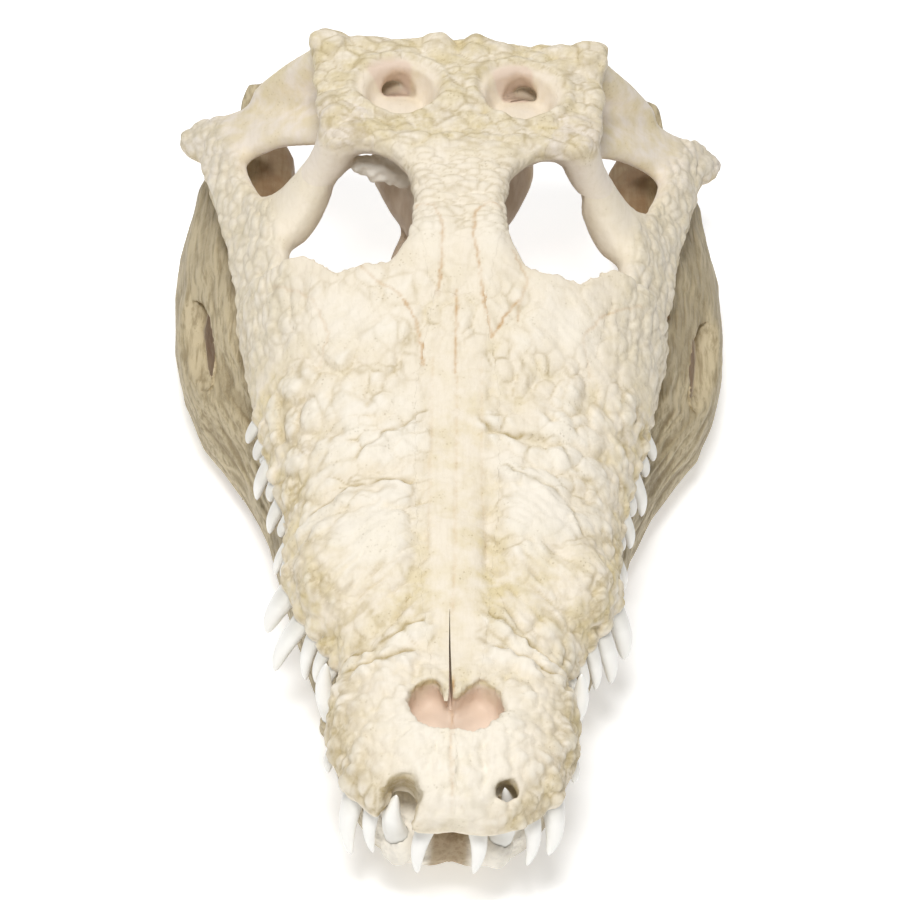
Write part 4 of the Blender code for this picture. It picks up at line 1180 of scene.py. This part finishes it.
def pinched_window(points, normals):
    """How far the bone over and under the jaw's side window closes in on it."""
    found = measured(plan_points(points), normals)
    apart = found["z"] - WINDOW_HEIGHT
    return -apart * WINDOW_PINCH * bell(apart, WINDOW_REACH) * stepped(found, "window")


def jaw_noise(spots):
    """Short and long streaks that run along the outside of the jaw."""
    x, y, z = spots.T
    along = np.stack((np.abs(x) - width_at(JAW_EDGE, y) + np.sign(x) * 30.0, y, z), axis=1)
    bent = warped(along, 2.0, 22.0, 301)
    return stretched_noise(bent, (4.0, 34.0, 2.8), 305), stretched_noise(bent, (9.0, 60.0, 8.0), 306)


def sculpt_lower(whole, height):
    """Give the fused lower jaw its relief and its masks."""
    mesh = whole.data
    points = read_points(mesh)
    points[:, 2] += pinched_window(points, read_normals(mesh)) * MM
    write_points(mesh, points)
    normals = read_normals(mesh)
    spots = plan_points(points)
    found = measured(spots, normals)
    outside, hollow, ledge = [stepped(found, "jaw " + name) for name in ("outside", "hollow", "ledge")]
    front = 1 - 0.55 * stepped(found, "jaw rear")
    streaks, broad = jaw_noise(spots)
    relief = outside * (streaks * 1.2 * front + broad * 1.0) * height / MM
    relief -= outside * JAW_NARROWER * bell(found["y"] - 255.0, 55.0) * stepped(found, "jaw slim")
    relief += gradient_noise(spots / 2.6, 331) * 0.06 + (1 - outside) * streaks * 0.15
    write_points(mesh, clamp_to_cad(points + normals * relief[:, None] * MM))
    lines = np.maximum(1.1 * ramp(-streaks, 0.0, 0.45) * front, 0.6 * ramp(-broad, 0.1, 0.6))
    # Painted shade on the jaw's inner walls
    walls = (1 - outside) * (1 - ledge) * stepped(found, "jaw walls")
    none = np.zeros(len(points))
    write_masks(
        mesh, crease=lines * outside, suture=none, rough=outside, wear=outside * 0.3,
        inner=np.maximum(walls, 0.7 * hollow), pink=none,
        bleach=0.75 * stepped(found, "jaw tip") * (1 - hollow),
        stain=stretched_noise(spots, (20.0, 50.0, 20.0), 341) * 0.3 + 0.2)


# Parting


def part_off(whole, name, outline, low, high, gap):
    """Part a bone from the whole along an outline, with a thin gap round it."""
    block = outline_block("block", outline, low, high)
    grown = outline_block("grown", outline, low - gap, high + gap, gap)
    bone = combined(whole, block, "INTERSECT", name)
    rest = combined(whole, grown, "DIFFERENCE", "rest")
    drop(block, grown, whole)
    return bone, rest


def part_bones(whole, bones, gap):
    """Part the whole into its bones and return them by name, with what is left."""
    named = {}
    for name, outline, low, high, paired in bones:
        for piece, plan in pieces_of(name, outline, paired):
            wavy = wavy_outline(plan, WAVE_REACH)
            named[piece], whole = part_off(whole, piece, wavy, low, high, gap)
    return named, whole


def mend_masks(mesh):
    """Give the vertices that the cuts made the masks of their neighbours."""
    ends = edge_ends(mesh)
    ends = np.concatenate((ends, ends[:, ::-1]))
    known = (read_mask(mesh, "known") > 0.999).astype(float)
    masks = {name: read_mask(mesh, name) * known for name in MASKS}
    count = len(mesh.vertices)
    for _ in range(MEND_PASSES):
        weight = np.bincount(ends[:, 0], known[ends[:, 1]], count)
        fresh = (known == 0) & (weight > 0)
        for name, values in masks.items():
            total = np.bincount(ends[:, 0], values[ends[:, 1]], count)
            values[fresh] = total[fresh] / weight[fresh]
        known[fresh] = 1.0
    for name, values in masks.items():
        write_mask(mesh, name, values)


def finish_bone(bone, node, material):
    """Name a parted bone after the CAD node it stands for, dress it and hide that node."""
    drop_scraps(bone, FEWEST_OF_BONE)
    mend_masks(bone.data)
    bone.name = node + "_bone"
    bone.data.name = bone.name
    bone.data.materials.clear()
    bone.data.materials.append(material)
    bone.data.shade_smooth()
    bone.data.set_sharp_from_angle(angle=math.radians(SHARP_ANGLE))
    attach(bone, BODY)
    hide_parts(node)
    frame_slot(node)


def frame_slot(node):
    """The material slot of a CAD node."""
    kind = node.split("_")[0]
    if kind in ("dentary", "surangular", "angular", "articular"):
        return "jaw_bone"
    return "smooth_bone" if kind in SMOOTH_BONES else "rough_bone"


# Materials


def new_material(name):
    """A material with its sketch and its shader."""
    material = bpy.data.materials.new(name)
    material.use_nodes = True
    return material, Sketch(material.node_tree), material.node_tree.nodes["Principled BSDF"]


def set_inputs(node, values):
    """Give a node's inputs their numbers and colours."""
    for key, value in values.items():
        node.inputs[key].default_value = value


class Sketch:
    """Short ways to add nodes to a node tree, which mostly return an output."""

    def __init__(self, tree):
        self.nodes = tree.nodes
        self.links = tree.links

    def here(self):
        """Place on the object, from the tree's one texture coordinate node."""
        node = self.nodes.get("here") or self.node("ShaderNodeTexCoord", {"name": "here"})
        return node.outputs["Object"]

    def node(self, kind, settings=None, feeds=None, **values):
        """A node with its settings, the outputs that feed it and its numbers."""
        made = self.nodes.new(kind)
        for key, value in (settings or {}).items():
            setattr(made, key, value)
        for key, output in (feeds or {}).items():
            self.links.new(output, made.inputs[key])
        set_inputs(made, values)
        return made

    def noise(self, scale, detail, roughness=0.55, at=None):
        node = self.node("ShaderNodeTexNoise", None, {"Vector": at or self.here()},
                         Scale=scale, Detail=detail, Roughness=roughness)
        return node.outputs["Fac"]

    def cells(self, scale, feature="F1", at=None):
        node = self.node("ShaderNodeTexVoronoi", {"feature": feature},
                         {"Vector": at or self.here()}, Scale=scale)
        return node.outputs["Distance"]

    def mapped(self, value, low, high, to_low=0.0, to_high=1.0):
        node = self.node("ShaderNodeMapRange", None, {"Value": value})
        set_inputs(node, {"From Min": low, "From Max": high, "To Min": to_low, "To Max": to_high})
        return node.outputs["Result"]

    def maths(self, operation, *terms):
        node = self.node("ShaderNodeMath", {"operation": operation})
        self.feed(node, terms)
        return node.outputs["Value"]

    def vector(self, operation, *terms):
        node = self.node("ShaderNodeVectorMath", {"operation": operation})
        self.feed(node, terms)
        return node.outputs["Vector"]

    def feed(self, node, terms):
        """Give the inputs in turn their numbers or the outputs that feed them."""
        for socket, term in zip(node.inputs, terms):
            if isinstance(term, (float, tuple)):
                socket.default_value = term
            else:
                self.links.new(term, socket)

    def times(self, first, second):
        return self.maths("MULTIPLY", first, second)

    def layered(self, colour, *layers):
        """The colour with others laid over it, each by its own share."""
        for share, tint in layers:
            node = self.node("ShaderNodeMix", {"data_type": "RGBA", "blend_type": "MIX"},
                             {"Factor": share, "A": colour, "B": tint})
            colour = node.outputs["Result"]
        return colour


def bone_patterns(sketch, given):
    """Noises of the bone's surface, from 0 to 1."""
    times, mapped, noise = sketch.times, sketch.mapped, sketch.noise
    here = sketch.here()
    bender = sketch.node("ShaderNodeTexNoise", None, {"Vector": here}, Scale=95.0, Detail=2.0)
    bent = sketch.vector("MULTIPLY_ADD", bender.outputs["Color"], (0.011, 0.011, 0.011), here)
    drawn = sketch.vector("MULTIPLY", here, (1.0, 0.09, 1.0))
    strands = mapped(noise(520.0, 4.0, 0.6, drawn), 0.46, 0.66)
    patchy = noise(95.0, 4.0)
    pores = mapped(sketch.cells(520.0), 0.10, 0.30, 1.0, 0.0)
    seams = [
        times(mapped(sketch.cells(scale, "DISTANCE_TO_EDGE", bent), 0.0, width, 1.0, 0.0),
              mapped(noise(share_scale, 2.0), 0.50, high))
        for scale, width, share_scale, high in ((95.0, 0.10, 60.0, 0.64), (170.0, 0.12, 75.0, 0.62))]
    return {
        "patchy": patchy, "speckle": noise(420.0, 3.0, 0.7),
        "pore": times(pores, mapped(patchy, 0.52, 0.66)),
        "uneven": mapped(noise(28.0, 3.0), 0.35, 0.68),
        "strand": times(strands, given["Fibre"]),
        "seam": times(sketch.maths("MAXIMUM", *seams), given["Wear"]),
    }


def bone_colour(sketch, given, found):
    """Colour of the bone from its masks and patterns."""
    times, mapped = sketch.times, sketch.mapped
    patchy, crease_tint, stain_tint = found["patchy"], given["Crease Tint"], given["Stain Tint"]
    return sketch.layered(
        given["Pale"],
        (times(times(given["Stain"], mapped(patchy, 0.38, 0.62)), 0.75), stain_tint),
        # Crease: brown creases, and painted shade under overhangs, in the nostril and in holes
        (times(given["Crease"], mapped(found["speckle"], 0.25, 0.7, 0.55, 1.0)), crease_tint),
        (times(found["seam"], 0.08), crease_tint),
        (found["strand"], crease_tint),
        (times(found["uneven"], 0.10), stain_tint),
        (given["Pink"], given["Pink Tint"]),
        (times(found["pore"], 0.35), crease_tint),
        (times(given["Suture"], mapped(patchy, 0.36, 0.56, 0.25, 1.0)), given["Suture Tint"]),
        # Inner: painted shade in deep places
        (times(given["Inner"], mapped(patchy, 0.3, 0.7, 0.6, 1.0)), given["Inner Tint"]),
        # Whitening: painted light and highlights, and paler bone
        (given["Bleach"], given["Bleach Tint"]))


def bone_height(sketch, given, found):
    """Fine height of the bone from its patterns."""
    grain = sketch.maths("ADD", sketch.times(found["speckle"], 0.6), sketch.times(found["patchy"], 0.5))
    for name, depth in (("pore", 0.8), ("seam", 0.25), ("strand", 1.2)):
        grain = sketch.maths("SUBTRACT", grain, sketch.times(found[name], depth))
    return sketch.times(grain, sketch.maths("ADD", sketch.times(given["Rough"], 0.7), 0.3))


def bone_surface_group():
    """Shader group that turns the masks of the sculpting into colour and fine height."""
    group = bpy.data.node_groups.new("bone_surface", "ShaderNodeTree")
    sockets = [(name, "INPUT", "Color") for name in TINTS]
    sockets += [(name.capitalize(), "INPUT", "Float") for name in MASKS + ("fibre",)]
    sockets += [("Colour", "OUTPUT", "Color"), ("Roughness", "OUTPUT", "Float"),
                ("Height", "OUTPUT", "Float")]
    for name, way, kind in sockets:
        group.interface.new_socket(name=name, in_out=way, socket_type="NodeSocket" + kind)
    sketch = Sketch(group)
    given = group.nodes.new("NodeGroupInput").outputs
    found = bone_patterns(sketch, given)
    sketch.node("NodeGroupOutput", None, {
        "Colour": bone_colour(sketch, given, found),
        "Roughness": sketch.mapped(found["speckle"], 0.3, 0.7, 0.50, 0.64),
        "Height": bone_height(sketch, given, found),
    })
    return group


def bone_material(name, looks, pale, crease, inner=INNER_TINT, fibre=0.08):
    """Material of a kind of bone, which reads the masks of the sculpting."""
    material, sketch, shader = new_material(name)
    tree = bpy.data.node_groups.get("bone_surface") or bone_surface_group()
    surface = sketch.node("ShaderNodeGroup", {"node_tree": tree}, Fibre=fibre)
    tints = ((*pale, 1.0), (*crease, 1.0), (*looks.stain, 1.0), (*looks.pink, 1.0),
             SUTURE_TINT, inner, WHITENING_AND_LIGHT_TINT)
    set_inputs(surface, dict(zip(TINTS, tints)))
    for key in MASKS:
        mask = sketch.node("ShaderNodeAttribute", {"attribute_name": key})
        sketch.links.new(mask.outputs["Fac"], surface.inputs[key.capitalize()])
    bump = sketch.node("ShaderNodeBump", None, {"Height": surface.outputs["Height"]},
                       Strength=0.45, Distance=0.0008)
    sketch.links.new(surface.outputs["Colour"], shader.inputs["Base Color"])
    sketch.links.new(surface.outputs["Roughness"], shader.inputs["Roughness"])
    sketch.links.new(bump.outputs["Normal"], shader.inputs["Normal"])
    set_inputs(shader, {"Specular IOR Level": 0.35})
    return material


def enamel_material(name, tip, base):
    """Material of the teeth, from the colour of the base to that of the tip."""
    material, sketch, shader = new_material(name)
    rise = sketch.node("ShaderNodeAttribute", {"attribute_name": "rise"}).outputs["Fac"]
    cloud = sketch.noise(180.0, 3.0, 0.5)
    scale = sketch.nodes.new("ShaderNodeValToRGB")
    for stop, place_on_scale, colour in zip(scale.color_ramp.elements, (0.12, 0.62), (base, tip)):
        stop.position = place_on_scale
        stop.color = (*colour, 1.0)
    sketch.links.new(sketch.maths("MULTIPLY_ADD", cloud, 0.35, rise), scale.inputs["Fac"])
    sketch.links.new(scale.outputs["Color"], shader.inputs["Base Color"])
    bump = sketch.node("ShaderNodeBump", None, {"Height": cloud}, Strength=0.15, Distance=0.0003)
    sketch.links.new(bump.outputs["Normal"], shader.inputs["Normal"])
    set_inputs(shader, {"Roughness": 0.28, "Coat Weight": 0.25, "Coat Roughness": 0.15})
    return material


# Settings


def colour(name, description, default):
    """A colour that the panel can set."""
    return FloatVectorProperty(name=name, description=description, subtype="COLOR",
                               default=default, min=0.0, max=1.0)


def length(name, description, default, least=0.0):
    """A length that the panel can set."""
    return FloatProperty(name=name, description=description, default=default, min=least,
                         unit="LENGTH")


class SkullSettings(bpy.types.PropertyGroup):
    """Sizes and colours of the bones"""

    grain: length("Grain", "Size of the finest facets of the bone", 0.0010, 0.0006)
    nodule_height: length("Nodule Height", "Height of the bumps on the roof of the skull", 0.0011)
    jaw_relief: length("Jaw Relief", "Height of the ridges on the lower jaw", 0.0008)
    suture: length("Suture Width", "Width of the thin line between two bones", 0.00004, 0.00002)
    smoothing: IntProperty(
        name="Smoothing", description="Passes that soften the fused bone", default=9, min=0)
    pale: colour("Bone", "Colour of clean bone", (0.86, 0.775, 0.64))
    crease: colour("Crease", "Colour in creases and pores", (0.38, 0.285, 0.12))
    # also the colour of the painted shade that is laid into the crease mask
    stain: colour("Stain", "Colour of aged, yellowed bone", (0.73, 0.62, 0.38))
    smooth_pale: colour("Smooth Bone", "Colour of the smooth bars and inner walls",
                        (0.84, 0.755, 0.655))
    pink: colour("Pink", "Colour of the thin bone in the nostril and the temples",
                 (0.74, 0.59, 0.47))
    jaw_pale: colour("Jaw Bone", "Colour of the lower jaw", (0.54, 0.455, 0.30))
    jaw_crease: colour("Jaw Crease", "Colour in the streaks of the lower jaw",
                       (0.27, 0.205, 0.11))


class TeethSettings(bpy.types.PropertyGroup):
    """Colours of the teeth"""

    tip: colour("Enamel", "Colour of the crowns", (0.91, 0.895, 0.85))
    base: colour("Tooth Base", "Colour of the foot of each crown", (0.74, 0.72, 0.66))


class StageSettings(bpy.types.PropertyGroup):
    """Colour of the floor and strength of the lights"""

    floor_colour: colour("Floor", "Colour of the floor", (0.90, 0.90, 0.90))
    key_power: FloatProperty(
        name="Key Light", description="Power of the large soft light", default=20.5, min=0.0,
        unit="POWER")
    sky: FloatProperty(
        name="Sky", description="Strength of the even light from all sides", default=0.20, min=0.0)


# Operators


class SKULL_OT_upper_bones(bpy.types.Operator):
    """Build the bones of the upper skull"""

    bl_idname = "skull.upper_bones"
    bl_label = "Upper Skull"

    def execute(self, context):
        looks = context.scene.skull
        names = bone_names(UPPER_BONES) + [UPPER_LAST]
        whole = fused_bone("upper", names, looks.grain, looks.smoothing)
        sculpt_upper(whole, looks.nodule_height)
        whole = cut_sockets(whole, names)
        whole = cut_cracks(whole)
        named, rest = part_bones(whole, UPPER_BONES, looks.suture / MM)
        named[UPPER_LAST] = rest
        rough = bone_material("sculpted_bone", looks, looks.pale, looks.crease)
        smooth = bone_material("smooth_bone", looks, looks.smooth_pale, looks.crease)
        for name, bone in named.items():
            kind = name.split("_")[0]
            finish_bone(bone, name, smooth if kind in SMOOTH_BONES else rough)
        return {"FINISHED"}


class SKULL_OT_lower_jaw(bpy.types.Operator):
    """Build the bones of the lower jaw"""

    bl_idname = "skull.lower_jaw"
    bl_label = "Lower Jaw"

    def execute(self, context):
        looks = context.scene.skull
        names = bone_names(LOWER_BONES)
        whole = fused_bone("lower", names, looks.grain, looks.smoothing)
        sculpt_lower(whole, looks.jaw_relief)
        whole = cut_sockets(whole, names)
        named, rest = part_bones(whole, LOWER_BONES, looks.suture / MM)
        drop(rest)
        material = bone_material("jaw_bone", looks, looks.jaw_pale, looks.jaw_crease,
                                 JAW_INNER_TINT, 0.75)
        for name, bone in named.items():
            finish_bone(bone, name, material)
        return {"FINISHED"}


def cut(whole, tool):
    """The whole with a tool's shape taken out of it, in place of both."""
    result = combined(whole, tool, "DIFFERENCE", whole.name)
    drop(whole, tool)
    return result


def cut_cracks(whole):
    """Open the crack between the tips of the nasal bones and those in the temple pits."""
    for floor, roof, line in CRACKS:
        left = [(x - half, y) for x, y, half in line]
        right = [(x + half, y) for x, y, half in reversed(line)]
        whole = cut(whole, outline_block("crack", left + right, floor, roof))
    return whole


def cut_sockets(whole, names):
    """Cut the sockets of the teeth of the named bones."""
    for name in names:
        if name in TOOTHED:
            whole = cut(whole, sleeves(name, *SOCKET_SLEEVE))
    return whole


class SKULL_OT_teeth(bpy.types.Operator):
    """Set the rows of teeth in the jaws"""

    bl_idname = "skull.teeth"
    bl_label = "Teeth"

    def execute(self, context):
        looks = context.scene.skull_teeth
        enamel = enamel_material("enamel", looks.tip, looks.base)
        for bone in TOOTHED:
            rows, side, upward = tooth_rows(bone)
            bm = bmesh.new()
            for row in rows:
                add_tooth(bm, grown_tooth(row), side, upward)
            bmesh.ops.recalc_face_normals(bm, faces=bm.faces)
            teeth = mesh_object("teeth_" + bone, bm)
            base = rows[0][2]
            heights = plan_points(read_points(teeth.data))[:, 2]
            rise = (heights - base) / CROWN_HEIGHT * (1 if upward else -1)
            write_mask(teeth.data, "rise", np.clip(rise, 0.0, 1.0))
            write_points(teeth.data, clamp_to_cad(read_points(teeth.data)))
            teeth.data.materials.append(enamel)
            teeth.data.shade_smooth()
            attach(teeth, BODY)
        return {"FINISHED"}


class SKULL_OT_stage(bpy.types.Operator):
    """Lay the floor and set the lights and the camera"""

    bl_idname = "skull.stage"
    bl_label = "Stage"

    def execute(self, context):
        looks = context.scene.skull_stage
        drop(*[obj for obj in context.scene.objects if obj.type in {"LIGHT", "CAMERA"}])
        floor = stage_floor(looks.floor_colour)
        stage_lights(context.scene, looks.key_power, looks.sky)
        stage_camera(context.scene)
        context.scene.view_settings.view_transform = "Standard"
        return {"FINISHED"}


def stage_floor(colour):
    """A wide pale floor."""
    bm = bmesh.new()
    bmesh.ops.create_grid(bm, x_segments=1, y_segments=1, size=6.0)
    floor = mesh_object("floor", bm)
    material, _, shader = new_material("pale_floor")
    set_inputs(shader, {
        "Base Color": (*colour, 1.0), "Roughness": 0.8, "Specular IOR Level": 0.1,
        "Emission Color": (*colour, 1.0), "Emission Strength": 0.5,
    })
    floor.data.materials.append(material)
    return floor


def stage_lights(scene, key_power, sky):
    """An even sky, a large light from the front and a weaker one from behind."""
    world = bpy.data.worlds.new("studio")
    world.use_nodes = True
    set_inputs(world.node_tree.nodes["Background"], {"Color": (1.0, 1.0, 1.0, 1.0), "Strength": sky})
    scene.world = world
    add_area_light("key", (-0.14, -0.85, 1.55), 0.5, key_power)
    add_area_light("back", (-0.15, 0.80, 1.30), 0.6, key_power * 0.35)


def add_area_light(name, spot, size, power):
    """A round light that shines on the skull."""
    data = bpy.data.lights.new(name, "AREA")
    data.shape = "DISK"
    data.size = size
    data.energy = power
    light = bpy.data.objects.new(name, data)
    light.location = spot
    light.rotation_mode = "QUATERNION"
    light.rotation_quaternion = (Vector((0, 0, 0.05)) - Vector(spot)).to_track_quat("-Z", "Y")
    bpy.context.scene.collection.objects.link(light)


def stage_camera(scene):
    """The camera of the photograph."""
    data = bpy.data.cameras.new("camera")
    data.lens = CAMERA_LENS
    data.sensor_width = CAMERA_SENSOR
    data.clip_start = 0.05
    camera = bpy.data.objects.new("camera", data)
    scene.collection.objects.link(camera)
    azimuth, elevation = math.radians(CAMERA_AZIMUTH), math.radians(CAMERA_ELEVATION)
    back = Vector((math.sin(azimuth) * math.cos(elevation),
                   -math.cos(azimuth) * math.cos(elevation), math.sin(elevation)))
    right = Vector((math.cos(azimuth), math.sin(azimuth), 0.0))
    up = back.cross(right)
    turn = Matrix((right, up, back)).transposed()
    roll = Matrix.Rotation(math.radians(CAMERA_ROLL), 3, "Z")
    camera.matrix_world = Matrix.Translation(place(*CAMERA_TARGET) + back * CAMERA_DISTANCE) @ \
        (turn @ roll).to_4x4()
    scene.camera = camera


class SKULL_PT_panel(bpy.types.Panel):
    """Shows the buttons that build the skull and some of its settings"""

    bl_label = "Crocodile Skull"
    bl_idname = "SKULL_PT_panel"
    bl_space_type = "VIEW_3D"
    bl_region_type = "UI"
    bl_category = "Skull"

    def draw(self, context):
        for operator in OPERATORS:
            self.layout.operator(operator.bl_idname)
        for name in ("grain", "nodule_height", "jaw_relief", "pale", "crease", "stain"):
            self.layout.prop(context.scene.skull, name)


OPERATORS = (SKULL_OT_upper_bones, SKULL_OT_lower_jaw, SKULL_OT_teeth, SKULL_OT_stage)
CLASSES = (SkullSettings, TeethSettings, StageSettings) + OPERATORS + (SKULL_PT_panel,)


def register():
    """Register the classes and their settings."""
    for item in CLASSES:
        bpy.utils.register_class(item)
    bpy.types.Scene.skull = PointerProperty(type=SkullSettings)
    bpy.types.Scene.skull_teeth = PointerProperty(type=TeethSettings)
    bpy.types.Scene.skull_stage = PointerProperty(type=StageSettings)


def unregister():
    """Take away what register adds."""
    del bpy.types.Scene.skull_stage
    del bpy.types.Scene.skull_teeth
    del bpy.types.Scene.skull
    for item in reversed(CLASSES):
        bpy.utils.unregister_class(item)


def main():
    """Build the skull."""
    register()
    bpy.ops.skull.upper_bones()
    bpy.ops.skull.lower_jaw()
    bpy.ops.skull.teeth()
    bpy.ops.skull.stage()


if __name__ == "__main__":
    main()
